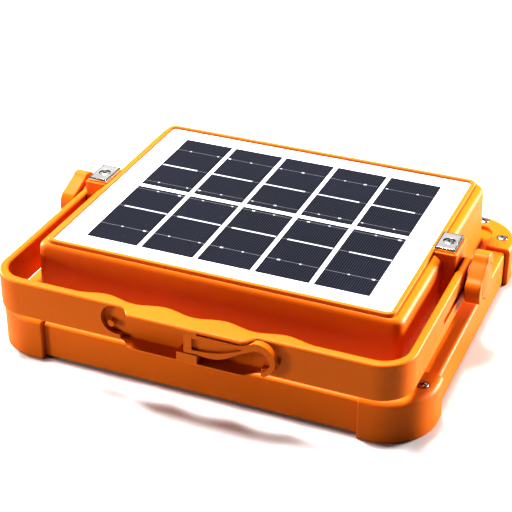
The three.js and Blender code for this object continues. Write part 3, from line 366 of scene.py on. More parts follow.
    def meet(self, other: "Solid") -> "Solid":
        """Keeps what this solid shares with another and returns it."""
        return self.with_solid(other, Combine.MEET)

    def as_object(self, name: str, in_metres: bool = True) -> bpy.types.Object:
        """Turns the solid into an object, with its place in its mesh.

        Args:
            name: The object's name.
            in_metres: False for a helper that stays in millimetres.

        Returns:
            The object. The solid is used up.
        """
        if in_metres:
            bmesh.ops.scale(self.mesh, vec=(MM, MM, MM), verts=self.mesh.verts)
            bmesh.ops.translate(self.mesh, vec=panel_middle(), verts=self.mesh.verts)
        data = bpy.data.meshes.new(name)
        self.mesh.to_mesh(data)
        self.mesh.free()
        piece = bpy.data.objects.new(name, data)
        bpy.context.scene.collection.objects.link(piece)
        return piece


class Pen:
    """Draws a chain of edges: straight runs are extruded and arcs are spun."""

    def __init__(self, mesh: bmesh.types.BMesh, start: Sequence[float]) -> None:
        """Puts the pen down.

        Args:
            mesh: The bmesh that it draws in.
            start: Where it starts.
        """
        self.mesh = mesh
        self.tip = bmesh.ops.create_vert(mesh, co=start)["vert"][0]
        self.verts = [self.tip]
        self.edges: list[bmesh.types.BMEdge] = []

    def line(self, end: Sequence[float]) -> "Pen":
        """Draws a straight run.

        Args:
            end: Where it ends. A run of no length is left out.

        Returns:
            The pen.
        """
        if (Vector(end) - self.tip.co).length < TINY:
            return self
        made = bmesh.ops.extrude_vert_indiv(self.mesh, verts=[self.tip])
        self.tip = made["verts"][0]
        self.tip.co = Vector(end)
        self.verts.append(self.tip)
        self.edges.append(made["edges"][0])
        return self

    def arc(self, centre: Sequence[float], angle: float, steps: int,
            axis: Sequence[float] = (0, 0, 1)) -> "Pen":
        """Spins the pen's tip about a centre.

        Args:
            centre: The centre.
            angle: Turn in radians, positive by the right hand about the axis.
            steps: Facets.
            axis: The axis.

        Returns:
            The pen.
        """
        start = self.tip.co.copy()
        for step in range(1, steps + 1):
            turn = Matrix.Rotation(angle * step / steps, 3, Vector(axis))
            self.line(Vector(centre) + turn @ (start - Vector(centre)))
        return self

    def curve(self, first: Sequence[float], second: Sequence[float], end: Sequence[float],
              steps: int) -> "Pen":
        """Draws a cubic curve.

        Args:
            first: Its first handle.
            second: Its second handle.
            end: Its end.
            steps: Facets.

        Returns:
            The pen.
        """
        a, b, c, d = self.tip.co.copy(), Vector(first), Vector(second), Vector(end)
        for step in range(1, steps + 1):
            t = step / steps
            self.line(a * (1 - t) ** 3 + b * 3 * t * (1 - t) ** 2 + c * 3 * t * t * (1 - t) + d * t ** 3)
        return self

    def bend(self, handle: Sequence[float], end: Sequence[float], steps: int) -> "Pen":
        """Draws a curve with one handle.

        Args:
            handle: The handle.
            end: Its end.
            steps: Facets.

        Returns:
            The pen.
        """
        a, b, c = self.tip.co.copy(), Vector(handle), Vector(end)
        return self.curve(a + (b - a) * 2 / 3, c + (b - c) * 2 / 3, c, steps)

    def close(self) -> bmesh.types.BMFace:
        """Closes the outline and fills it.

        Returns:
            Its face.
        """
        if (self.verts[0].co - self.tip.co).length < NEAR:
            last = self.verts.pop()
            bmesh.ops.weld_verts(self.mesh, targetmap={last: self.verts[0]})
        else:
            bmesh.ops.contextual_create(self.mesh, geom=[self.tip, self.verts[0]])
        loop = list({edge for vert in self.verts for edge in vert.link_edges})
        return bmesh.ops.edgeloop_fill(self.mesh, edges=loop)["faces"][0]


class Effect(Enum):
    """Surface effect that several finishes share, as a shader node group."""

    GRAIN = "surface_grain"
    TONE = "tone_drift"
    EDGE = "edge_wear"
    MARKS = "handling_marks"
    DUST = "settled_dust"
    # Painted shade: ambient occlusion darkens the colour in recesses and joints.
    PAINTED_SHADE = "recess_grime"


class Nodes:
    """Adds and joins the nodes of one tree."""

    def __init__(self, tree: bpy.types.NodeTree) -> None:
        """Takes the tree to work in.

        Args:
            tree: A material's tree or a group.
        """
        self.tree = tree

    def add(self, kind: str, settings: dict[str, object] | None = None,
            values: dict[str | int, object] | None = None) -> bpy.types.Node:
        """Adds a node.

        Args:
            kind: Its type name after "ShaderNode".
            settings: Properties to set on it.
            values: Numbers, colours or output sockets for its inputs.

        Returns:
            The node.
        """
        node = self.tree.nodes.new("ShaderNode" + kind)
        for name, value in (settings or {}).items():
            setattr(node, name, value)
        for name, value in (values or {}).items():
            if isinstance(value, bpy.types.NodeSocket):
                self.tree.links.new(value, node.inputs[name])
            else:
                node.inputs[name].default_value = value
        return node

    def math(self, operation: str, *values: object) -> bpy.types.NodeSocket:
        """Adds a Math node and returns its output."""
        return self.add("Math", {"operation": operation}, dict(enumerate(values))).outputs[0]

    def spread(self, value: bpy.types.NodeSocket, low: float, high: float, to_low: float = 0.0,
               to_high: float = 1.0) -> bpy.types.NodeSocket:
        """Maps a value smoothly from one range to another and returns the output."""
        return self.add("MapRange", {"interpolation_type": "SMOOTHSTEP"}, {
            "Value": value, "From Min": low, "From Max": high,
            "To Min": to_low, "To Max": to_high}).outputs[0]

    def blend(self, share: bpy.types.NodeSocket, first: object, second: object) -> bpy.types.NodeSocket:
        """Mixes two colours by a share and returns the output."""
        inputs = {MIX_SHARE: share, MIX_FIRST: first, MIX_SECOND: second}
        return self.add("Mix", {"data_type": "RGBA"}, inputs).outputs[MIX_COLOUR]

    def place(self, scale: Sequence[float] = (1, 1, 1),
              turn: Sequence[float] = (0, 0, 0)) -> bpy.types.NodeSocket:
        """Adds Object coordinates with their own scale and turn, and returns the vector."""
        where = self.add("TexCoord").outputs["Object"]
        return self.add("Mapping", None, {"Vector": where, "Scale": scale, "Rotation": turn}).outputs[0]

    def noise(self, scale: object, detail: float = 2.0,
              vector: bpy.types.NodeSocket | None = None) -> bpy.types.NodeSocket:
        """Adds a noise on Object coordinates and returns its value."""
        where = vector or self.add("TexCoord").outputs["Object"]
        return self.add("TexNoise", None, {"Vector": where, "Scale": scale, "Detail": detail}).outputs[0]

    def effect(self, effect: Effect, **values: float) -> bpy.types.NodeSocket:
        """Places a shared effect.

        Args:
            effect: The effect.
            **values: Its own values, by the names of its inputs in small letters.

        Returns:
            Its output.
        """
        node = self.add("Group")
        node.node_tree = EffectLibrary.tree(effect)
        for name, value in values.items():
            node.inputs[name.replace("_", " ").title()].default_value = value
        return node.outputs[0]


Band = tuple[float, float]


class EffectLibrary:
    """The shared effects, each built once as a node group."""

    built: dict[Effect, bpy.types.NodeTree] = {}
    tone_band: Band = (0.36, 0.64)
    edge_band: Band = (0.01, 0.2)
    break_band: Band = (0.38, 0.62)
    smear_band: Band = (0.45, 0.68)
    smear_share: float = 0.6
    rub_band: Band = (0.6, 0.68)
    rub_stretch: tuple[float, float, float] = (2.0, 30.0, 30.0)
    rub_turn: tuple[float, float, float] = (0.3, 0.2, 0.5)
    upward_band: Band = (0.55, 0.95)
    speck_band: Band = (0.62, 0.74)
    patch_scale: float = 35.0
    patch_band: Band = (0.4, 0.7)
    patch_least: float = 0.2
    open_band: Band = (0.25, 0.8)
    bevel_samples: int = 4
    occlusion_samples: int = 8

    @classmethod
    def tree(cls, effect: Effect) -> bpy.types.NodeTree:
        """Gives the node group of an effect.

        Args:
            effect: The effect.

        Returns:
            Its node group.
        """
        if effect not in cls.built:
            tree = bpy.data.node_groups.new(effect.value, "ShaderNodeTree")
            cls.built[effect] = tree
            {Effect.GRAIN: cls.grain, Effect.TONE: cls.tone, Effect.EDGE: cls.edge,
             Effect.MARKS: cls.marks, Effect.DUST: cls.dust, Effect.PAINTED_SHADE: cls.painted_shade}[effect](tree)
        return cls.built[effect]

    @staticmethod
    def sockets(tree: bpy.types.NodeTree, inputs: dict[str, float],
                output: str) -> tuple[Nodes, bpy.types.Node, bpy.types.Node]:
        """Gives a group its named inputs and its one output.

        Args:
            tree: The group.
            inputs: Name and usual value of each input.
            output: Name of the output.

        Returns:
            The group's node helper, its input node and its output node.
        """
        for name, value in inputs.items():
            socket = tree.interface.new_socket(name=name, in_out="INPUT", socket_type="NodeSocketFloat")
            socket.default_value = value
        tree.interface.new_socket(name=output, in_out="OUTPUT", socket_type="NodeSocketFloat")
        return Nodes(tree), tree.nodes.new("NodeGroupInput"), tree.nodes.new("NodeGroupOutput")

    @classmethod
    def grain(cls, tree: bpy.types.NodeTree) -> None:
        """Fine texture of a mould over its long waves, as a height.

        Args:
            tree: The group.
        """
        usual = {"Fine Scale": 2600.0, "Wave Scale": 260.0, "Wave Share": 0.35}
        nodes, given, out = cls.sockets(tree, usual, "Height")
        fine = nodes.noise(given.outputs["Fine Scale"])
        wave = nodes.noise(given.outputs["Wave Scale"], 1.0)
        mixed = nodes.add("Mix", None, {0: given.outputs["Wave Share"], 2: fine, 3: wave}).outputs[0]
        tree.links.new(mixed, out.inputs["Height"])

    @classmethod
    def tone(cls, tree: bpy.types.NodeTree) -> None:
        """Slow drift between two tones, as a mask.

        Args:
            tree: The group.
        """
        nodes, given, out = cls.sockets(tree, {"Scale": 18.0}, "Mask")
        drift = nodes.spread(nodes.noise(given.outputs["Scale"], 4.0), *cls.tone_band)
        tree.links.new(drift, out.inputs["Mask"])

    @classmethod
    def edge(cls, tree: bpy.types.NodeTree) -> None:
        """Rubbed outer edges, broken up by noise, as a mask.

        Args:
            tree: The group.
        """
        nodes, given, out = cls.sockets(tree, {"Radius": 0.0006, "Break Scale": 420.0}, "Mask")
        soft = nodes.add("Bevel", {"samples": cls.bevel_samples},
                         {"Radius": given.outputs["Radius"]}).outputs[0]
        true = nodes.add("NewGeometry").outputs["Normal"]
        agree = nodes.add("VectorMath", {"operation": "DOT_PRODUCT"}, {0: soft, 1: true}).outputs["Value"]
        turned = nodes.spread(nodes.math("SUBTRACT", 1.0, agree), *cls.edge_band)
        broken = nodes.spread(nodes.noise(given.outputs["Break Scale"], 3.0), *cls.break_band)
        tree.links.new(nodes.math("MULTIPLY", turned, broken), out.inputs["Mask"])

    @classmethod
    def marks(cls, tree: bpy.types.NodeTree) -> None:
        """Smears and hairline rubs of handling, as a mask.

        Args:
            tree: The group.
        """
        nodes, given, out = cls.sockets(tree, {"Scale": 60.0}, "Mask")
        smear = nodes.spread(nodes.noise(given.outputs["Scale"], 5.0), *cls.smear_band)
        rubs = nodes.noise(given.outputs["Scale"], 2.0, nodes.place(cls.rub_stretch, cls.rub_turn))
        line = nodes.spread(rubs, *cls.rub_band)
        mixed = nodes.math("MAXIMUM", nodes.math("MULTIPLY", smear, cls.smear_share), line)
        tree.links.new(mixed, out.inputs["Mask"])

    @classmethod
    def dust(cls, tree: bpy.types.NodeTree) -> None:
        """Specks that settle on faces that look up, as a mask.

        Args:
            tree: The group.
        """
        nodes, given, out = cls.sockets(tree, {"Scale": 900.0}, "Mask")
        normal = nodes.add("NewGeometry").outputs["Normal"]
        up = nodes.spread(nodes.add("SeparateXYZ", None, {0: normal}).outputs["Z"], *cls.upward_band)
        speck = nodes.spread(nodes.noise(given.outputs["Scale"], 2.0), *cls.speck_band)
        patch = nodes.spread(nodes.noise(cls.patch_scale, 3.0), *cls.patch_band, cls.patch_least, 1.0)
        tree.links.new(nodes.math("MULTIPLY", nodes.math("MULTIPLY", up, speck), patch), out.inputs["Mask"])

    @classmethod
    def painted_shade(cls, tree: bpy.types.NodeTree) -> None:
        """Painted shade in narrow recesses and joints, strongest where ambient occlusion finds near surfaces,
        as a mask.

        Args:
            tree: The group.
        """
        nodes, given, out = cls.sockets(tree, {"Reach": 0.0015}, "Mask")
        occlusion = nodes.add("AmbientOcclusion", {"samples": cls.occlusion_samples},
                              {"Distance": given.outputs["Reach"]})
        shade_share = nodes.spread(occlusion.outputs["AO"], *cls.open_band, 1.0, 0.0)
        tree.links.new(shade_share, out.inputs["Mask"])


Colour = tuple[float, float, float]


@dataclass(frozen=True)
class Finish:
    """A finish with its grain, tone drift, edge wear, handling marks and painted shade in recesses."""

    name: str
    colour: Colour
    shade: Colour
    roughness: float
    worn: Colour = (1.0, 1.0, 1.0)
    wear: float = 0.25
    metallic: float = 0.0
    rub: float = 0.12
    grain: float = 0.25
    fine_scale: float = 2600.0
    wave_scale: float = 260.0
    wave_share: float = 0.35
    tone_scale: float = 18.0
    dust: float = 0.05
    coat: float = 0.0
    sheen_of_gloss: float = 0.5
    # Share and colour of the painted shade that darkens recesses and joints.
    painted_shade: float = 0.0
    painted_shade_colour: Colour = (0.02, 0.018, 0.016)
    dust_colour: Colour = (0.75, 0.72, 0.68)
    coat_roughness: float = 0.06
    bump_reach: float = 0.00004

    def material(self) -> bpy.types.Material:
        """Gives the finish as a material, built once.

        Returns:
            The material.
        """
        known = bpy.data.materials.get(self.name)
        if known:
            return known
        material = bpy.data.materials.new(self.name)
        material.use_nodes = True
        nodes = Nodes(material.node_tree)
        shader = material.node_tree.nodes["Principled BSDF"]
        self.dress(nodes, shader)
        return material

    def dress(self, nodes: Nodes, shader: bpy.types.Node) -> None:
        """Joins the finish's effects to its shader.

        Args:
            nodes: The material's node helper.
            shader: Its Principled BSDF.
        """
        links = nodes.tree.links
        colour = self.ground(nodes)
        edge = nodes.math("MULTIPLY", nodes.effect(Effect.EDGE), self.wear)
        colour = nodes.blend(edge, colour, (*self.worn, 1.0))
        if self.dust > 0:
            speck = nodes.math("MULTIPLY", nodes.effect(Effect.DUST), self.dust)
            colour = nodes.blend(speck, colour, (*self.dust_colour, 1.0))
        # Painted shade: the colour darkens towards the shade colour where ambient occlusion finds recesses
        # and joints.
        if self.painted_shade > 0:
            shade_share = nodes.math("MULTIPLY", nodes.effect(Effect.PAINTED_SHADE), self.painted_shade)
            colour = nodes.blend(shade_share, colour, (*self.painted_shade_colour, 1.0))
        links.new(colour, shader.inputs["Base Color"])
        rough = nodes.spread(nodes.effect(Effect.MARKS), 0.0, 1.0, self.roughness, self.roughness + self.rub)
        links.new(rough, shader.inputs["Roughness"])
        shader.inputs["Metallic"].default_value = self.metallic
        shader.inputs["Coat Weight"].default_value = self.coat
        shader.inputs["Coat Roughness"].default_value = self.coat_roughness
        shader.inputs["Specular IOR Level"].default_value = self.sheen_of_gloss
        bump = nodes.add("Bump", None, {"Strength": self.grain, "Distance": self.bump_reach,
                                        "Height": self.relief(nodes)})
        links.new(bump.outputs[0], shader.inputs["Normal"])

    def ground(self, nodes: Nodes) -> bpy.types.NodeSocket:
        """Gives the colour under the wear, the dust and the painted shade."""
        tone = nodes.effect(Effect.TONE, scale=self.tone_scale)
        return nodes.blend(tone, (*self.colour, 1.0), (*self.shade, 1.0))

    def relief(self, nodes: Nodes) -> bpy.types.NodeSocket:
        """Gives the height that the bump reads."""
        return nodes.effect(Effect.GRAIN, fine_scale=self.fine_scale, wave_scale=self.wave_scale,
                            wave_share=self.wave_share)


@dataclass(frozen=True)
class BrushedMetal(Finish):
    """Metal with fine brushing along X."""

    brush_scale: float = 900.0
    brush_stretch: tuple[float, float, float] = (0.12, 4.0, 4.0)

    def relief(self, nodes: Nodes) -> bpy.types.NodeSocket:
        """Gives the height of the brush lines."""
        return nodes.noise(self.brush_scale, 3.0, nodes.place(self.brush_stretch))


@dataclass(frozen=True)
class WaferFinish(Finish):
    """Dark silicon with fine printed fingers along Y and a slow change of tone over the panel."""

    finger_pitch: float = 0.0011
    finger_width: float = 0.00026
    finger_core_share: float = 0.6
    finger_fade_share: float = 1.6
    finger_colour: Colour = (0.026, 0.028, 0.040)

    def ground(self, nodes: Nodes) -> bpy.types.NodeSocket:
        """Gives the silicon's colour with its fingers.

        Args:
            nodes: The material's node helper.

        Returns:
            The colour.
        """
        tone = nodes.effect(Effect.TONE, scale=self.tone_scale)
        ground = nodes.blend(tone, (*self.colour, 1.0), (*self.shade, 1.0))
        across = nodes.add("SeparateXYZ", None, {0: nodes.add("TexCoord").outputs["Object"]}).outputs["X"]
        place = nodes.math("FRACT", nodes.math("DIVIDE", nodes.math("ADD", across, 1.0), self.finger_pitch))
        off = nodes.math("ABSOLUTE", nodes.math("SUBTRACT", place, 0.5))
        half = self.finger_width / self.finger_pitch / 2
        finger = nodes.spread(off, half * self.finger_core_share, half * self.finger_fade_share, 1.0, 0.0)
        return nodes.blend(finger, ground, (*self.finger_colour, 1.0))


@dataclass(frozen=True)
class ClearFinish(Finish):
    """Clear plastic that lets what is behind it show."""

    ior: float = 1.49

    def dress(self, nodes: Nodes, shader: bpy.types.Node) -> None:
        """Joins the effects and makes the shader clear.

        Args:
            nodes: The material's node helper.
            shader: Its Principled BSDF.
        """
        super().dress(nodes, shader)
        shader.inputs["Transmission Weight"].default_value = 1.0
        shader.inputs["IOR"].default_value = self.ior


@dataclass(frozen=True)
class BoardFinish(Finish):
    """Circuit board under solder mask, with its copper tracks showing through as a slight relief and tint."""

    track: Colour = (0.2, 0.5, 0.3)
    track_scale: float = 240.0
    track_stretch: tuple[float, float, float] = (1.0, 1.0, 0.02)
    track_band: tuple[float, float] = (0.04, 0.08)
    track_share: float = 0.7

    def ground(self, nodes: Nodes) -> bpy.types.NodeSocket:
        """Gives the mask's colour with its tracks.

        Args:
            nodes: The material's node helper.

        Returns:
            The colour.
        """
        tone = nodes.effect(Effect.TONE, scale=self.tone_scale)
        ground = nodes.blend(tone, (*self.colour, 1.0), (*self.shade, 1.0))
        cells = nodes.add("TexVoronoi", {"feature": "DISTANCE_TO_EDGE", "distance": "EUCLIDEAN"},
                          {"Vector": nodes.place(self.track_stretch), "Scale": self.track_scale})
        tracks = nodes.spread(cells.outputs["Distance"], *self.track_band, self.track_share, 0.0)
        return nodes.blend(tracks, ground, (*self.track, 1.0))


WORN_ORANGE: Colour = (0.70, 0.24, 0.03)
# Dark red of the painted shade in the orange mouldings' recesses and joints, where bounced orange light tints
# the shade.
RED_SHADE: Colour = (0.16, 0.01, 0.0004)

# Both orange mouldings take painted dark red shade in recesses, joints and round the screws.
ORANGE = Finish("orange_moulding", (0.62, 0.132, 0.0012), (0.59, 0.122, 0.001), 0.44, worn=WORN_ORANGE,
                sheen_of_gloss=0.12, painted_shade=0.7, painted_shade_colour=RED_SHADE)
TRIM = Finish("orange_guard_moulding", (0.61, 0.128, 0.0012), (0.58, 0.119, 0.001), 0.46, worn=WORN_ORANGE,
              sheen_of_gloss=0.12, painted_shade=0.7, painted_shade_colour=RED_SHADE)
WHITE_SHEET = Finish("panel_laminate", (0.86, 0.87, 0.88), (0.82, 0.83, 0.85), 0.28, wear=0.0, grain=0.12,
                     wave_share=0.8, wave_scale=140.0, coat=0.3)
WAFER = WaferFinish("silicon_wafer", (0.0036, 0.0038, 0.0065), (0.0046, 0.0047, 0.0095), 0.3, wear=0.0,
                    grain=0.15, dust=0.02, tone_scale=30.0, sheen_of_gloss=0.03)
RIBBON = Finish("tinned_ribbon", (0.46, 0.47, 0.50), (0.38, 0.39, 0.42), 0.45, metallic=0.35, wear=0.1,
                grain=0.5, fine_scale=1800.0, dust=0.0)
WIRE = Finish("printed_silver_line", (0.13, 0.135, 0.15), (0.07, 0.073, 0.082), 0.5, metallic=0.2, wear=0.0,
              tone_scale=900.0, dust=0.0)
# Both metals take painted shade in their recesses, such as the screws' crosses and round the plates.
ZINC = BrushedMetal("zinc_plated_steel", (0.50, 0.48, 0.46), (0.40, 0.39, 0.38), 0.28,
                    worn=(0.95, 0.94, 0.92), metallic=1.0, grain=0.3, dust=0.0, painted_shade=0.95)
NICKEL = BrushedMetal("nickel_plate", (0.74, 0.73, 0.72), (0.66, 0.65, 0.64), 0.2, worn=(0.97, 0.96, 0.94),
                      metallic=1.0, grain=0.25, dust=0.03, painted_shade=0.9)
LENS = ClearFinish("clear_lens", (0.93, 0.95, 0.96), (0.90, 0.93, 0.95), 0.05, wear=0.05, rub=0.08,
                   grain=0.04, dust=0.0)
MIRROR = Finish("metallised_reflector", (0.88, 0.88, 0.90), (0.82, 0.82, 0.85), 0.14, metallic=1.0,
                grain=0.12, wave_share=0.9, wear=0.1, dust=0.0)
RUBBER = Finish("soft_rubber", (0.028, 0.028, 0.029), (0.036, 0.036, 0.036), 0.62, worn=(0.16, 0.16, 0.16),
                grain=0.6, fine_scale=1700.0, dust=0.1)
# Washer: its dark red is partly painted shade, the red of the shaded gap between arm and knob, laid on the
# real washer; it also takes painted shade in recesses.
WASHER = Finish("washer_rubber", (0.24, 0.022, 0.0012), (0.20, 0.018, 0.001), 0.6, worn=(0.4, 0.08, 0.01),
                grain=0.6, fine_scale=1700.0, painted_shade=0.5)
GLUE = Finish("magnet_glue", (0.012, 0.011, 0.010), (0.02, 0.018, 0.016), 0.5, wear=0.0, grain=0.6,
              wave_scale=900.0, dust=0.0)
BLACK = Finish("black_moulding", (0.022, 0.022, 0.023), (0.03, 0.03, 0.03), 0.45, worn=(0.12, 0.12, 0.12))
WHITE_BOARD = BoardFinish("white_light_board", (0.82, 0.82, 0.78), (0.78, 0.78, 0.74), 0.5, wear=0.0,
                          track=(0.72, 0.72, 0.68))
GREEN_BOARD = BoardFinish("green_control_board", (0.02, 0.17, 0.06), (0.015, 0.13, 0.05), 0.4, wear=0.0,
                          track=(0.05, 0.28, 0.11))
ALUMINIUM = BrushedMetal("mill_aluminium", (0.60, 0.61, 0.62), (0.52, 0.53, 0.54), 0.38, metallic=1.0,
                         grain=0.5)
FILM = Finish("cell_shrink_film", (0.03, 0.13, 0.38), (0.025, 0.11, 0.32), 0.3, worn=(0.3, 0.45, 0.65))


def publish(solid: Solid, name: str, body: Body, finish: Finish, replaced: Sequence[str] = (),
            sharp: float = 32.0) -> bpy.types.Object:
    """Turns a solid into a finished piece of the lamp.

    Args:
        solid: The solid, which is used up.
        name: The piece's name.
        body: The body that it rides on.
        finish: Its finish.
        replaced: CAD nodes that it stands for.
        sharp: Angle in degrees above which an edge stays sharp.

    Returns:
        The piece.
    """
    piece = solid.as_object(name)
    piece.data.shade_smooth()
    piece.data.set_sharp_from_angle(angle=math.radians(sharp))
    piece.data.materials.append(finish.material())
    weighted = piece.modifiers.new("even_normals", "WEIGHTED_NORMAL")
    weighted.keep_sharp = True
    weighted.weight = NORMAL_WEIGHT
    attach(piece, body.value)
    if replaced:
        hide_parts(*replaced)
    return piece


def dress_node(name: str, finish: Finish) -> None:
    """Gives a carried CAD node its finish.

    Args:
        name: The node.
        finish: The finish.
    """
    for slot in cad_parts[name].material_slots:
        slot.material = finish.material()


def arc_steps(count: int) -> list[float]:
    """Quarter-turn angles from 0 to a right angle, in equal steps."""
    return [math.pi / 2 * k / count for k in range(count + 1)]


@dataclass(frozen=True)
class HeadSizes:
    """Sizes that the housing shares with what is fixed to it."""

    slab_x: float = 98.7
    slab_y: float = 83.0
    slab_bottom: float = 1.5
    slab_top: float = 18.0
    slab_corner: float = 20.0
    slab_edge: float = 1.6
    ceiling: float = 15.8
    box_x: float = 84.3
    box_y: float = 66.4
    boss_face: float = 90.6
    boss_top: float = 49.4
    pivot_z: float = 35.0
    guard_top: float = 20.3
    screw_seat: float = 19.4
    port_z: float = 30.2
    side_screw: tuple[float, float] = (94.6, 66.0)
    end_screw: tuple[float, float] = (82.0, 79.6)

    def slab_rings(self, grow: float) -> list[tuple[float, float, float, float]]:
        """Gives the rings of the lamp head's outside.

        Args:
            grow: Clearance that they are grown by.

        Returns:
            Half length in X, half length in Y, corner radius and height of each ring.
        """
        base = self.slab_top + grow - self.slab_edge
        rings = [(self.slab_x + grow, self.slab_y + grow, self.slab_corner + grow, self.slab_bottom - grow)]
        for angle in arc_steps(EDGE_STEPS):
            inset = self.slab_edge * (1 - math.cos(angle))
            rings.append((self.slab_x + grow - inset, self.slab_y + grow - inset,
                          self.slab_corner + grow - inset, base + self.slab_edge * math.sin(angle)))
        return rings

    def screw_places(self) -> dict[str, tuple[float, float]]:
        """Gives the guard screws' places.

        Returns:
            Each screw's place in X and Y, by its name.
        """
        places = {}
        for end, way_y in (("front", -1), ("rear", 1)):
            for side, way_x in (("left", -1), ("right", 1)):
                places[f"{end}_{side}_side"] = (way_x * self.side_screw[0], way_y * self.side_screw[1])
                places[f"{end}_{side}_end"] = (way_x * self.end_screw[0], way_y * self.end_screw[1])
        return places


HEAD = HeadSizes()


@dataclass(frozen=True)
class RearHousing:
    """The one-piece orange moulding: lamp head, battery box, panel rim and side bosses."""

    wall: float = 2.2
    head_wall: float = 3.4
    rebate_wall: float = 1.7
    draft: float = 0.6
    box_corner: float = 5.0
    root: float = 1.6
    shoulder_top: float = 47.6
    shoulder_drop: float = 3.6
    rim_x: float = 80.3
    rim_y: float = 64.6
    rim_corner: float = 4.2
    rim_width: float = 2.0
    rim_top: float = 49.3
    rim_edge: float = 0.4
    panel_floor: float = 46.6
    box_ceiling: float = 44.4
    ledge: float = 4.7
    boss_inside: float = 3.8
    boss_half: float = 9.0
    boss_corner: float = 1.1
    boss_edge: float = 0.45
    bolt_hole: float = 2.7
    screw_hole: float = 1.55
    magnet_screw_floor: float = 42.1
    guard_screw_floor: float = 8.1
    root_steps: int = 4

    def shell(self) -> Solid:
        """Models the hollow shell from its inner ceiling round to the seat of the panel.

        Returns:
            The solid.
        """
        inner = (HEAD.box_x - self.wall, HEAD.box_y - self.wall, self.box_corner - self.wall)
        outline = (HEAD.slab_x, HEAD.slab_y, HEAD.slab_corner)
        head = tuple(size - self.head_wall for size in outline)
        rebate = tuple(size - self.rebate_wall for size in outline)
        rings = [(*inner, self.box_ceiling), (*inner, HEAD.ceiling), (*head, HEAD.ceiling),
                 (*head, self.ledge), (*rebate, self.ledge), (*rebate, HEAD.slab_bottom)]
        rings += HEAD.slab_rings(0.0)
        for angle in arc_steps(self.root_steps):
            out = self.draft + self.root * (1 - math.sin(angle))
            rings.append((HEAD.box_x + out, HEAD.box_y + out, self.box_corner + out - self.draft,
                          HEAD.slab_top + self.root * (1 - math.cos(angle))))
        run_x, run_y = HEAD.box_x - self.rim_x, HEAD.box_y - self.rim_y
        for angle in arc_steps(WIDE_STEPS):
            inset_x, inset_y = run_x * (1 - math.cos(angle)), run_y * (1 - math.cos(angle))
            rings.append((HEAD.box_x - inset_x, HEAD.box_y - inset_y, self.box_corner - min(inset_x, inset_y),
                          self.shoulder_top - self.shoulder_drop * (1 - math.sin(angle))))
        edge = self.rim_edge
        for angle in arc_steps(SOFT_STEPS):
            inset = edge * (1 - math.cos(angle))
            rings.append((self.rim_x - inset, self.rim_y - inset, self.rim_corner - inset,
                          self.rim_top - edge * (1 - math.sin(angle))))
        inside_x, inside_y = self.rim_x - self.rim_width, self.rim_y - self.rim_width
        for angle in reversed(arc_steps(SOFT_STEPS)):
            inset = edge * (1 - math.cos(angle))
            rings.append((inside_x + inset, inside_y + inset, self.rim_corner - self.rim_width + inset,
                          self.rim_top - edge * (1 - math.sin(angle))))
        rings.append((inside_x, inside_y, self.rim_corner - self.rim_width, self.panel_floor))
        return Solid().loft(rings)

    def boss(self, way: int) -> Solid:
        """Models the boss at one side, with rounded corners and top edge.

        Args:
            way: -1 at the left and 1 at the right.

        Returns:
            The solid.
        """
        half = (HEAD.boss_face - HEAD.box_x + self.boss_inside) / 2
        centre = (way * (HEAD.boss_face - half), 0.0)
        rings = [(half, self.boss_half, self.boss_corner, HEAD.ceiling)]
        for angle in arc_steps(SOFT_STEPS):
            inset = self.boss_edge * (1 - math.cos(angle))
            rings.append((half - inset, self.boss_half - inset, self.boss_corner - inset,
                          HEAD.boss_top - self.boss_edge * (1 - math.sin(angle))))
        return Solid().loft(rings, SMALL_CORNER_STEPS, centre)

    def build(self) -> bpy.types.Object:
        """Builds the housing with its bosses, holes and the openings of the rear wall.

        Returns:
            The piece.
        """
        body = self.shell()
        for way in (-1, 1):
            body.join(self.boss(way))
            ends = sorted((way * (HEAD.box_x - self.wall - 2 * OVERRUN), way * (HEAD.boss_face + OVERRUN)))
            body.cut(Solid().bar("x", self.bolt_hole, *ends, (0.0, HEAD.pivot_z), BORE_STEPS))
            body.cut(Solid().bar("z", self.screw_hole, self.magnet_screw_floor, HEAD.boss_top + OVERRUN,
                                 (way * MagnetPlates().centre, 0.0), SCREW_HOLE_STEPS))
        for place in HEAD.screw_places().values():
            body.cut(Solid().bar("z", self.screw_hole, self.guard_screw_floor, HEAD.slab_top + OVERRUN, place,
                                 SCREW_HOLE_STEPS))
        for cutter in RearControls().wall_cutters():
            body.cut(cutter)
        return publish(body, "lamp_housing", Body.LAMP, ORANGE, ["rear_housing"])


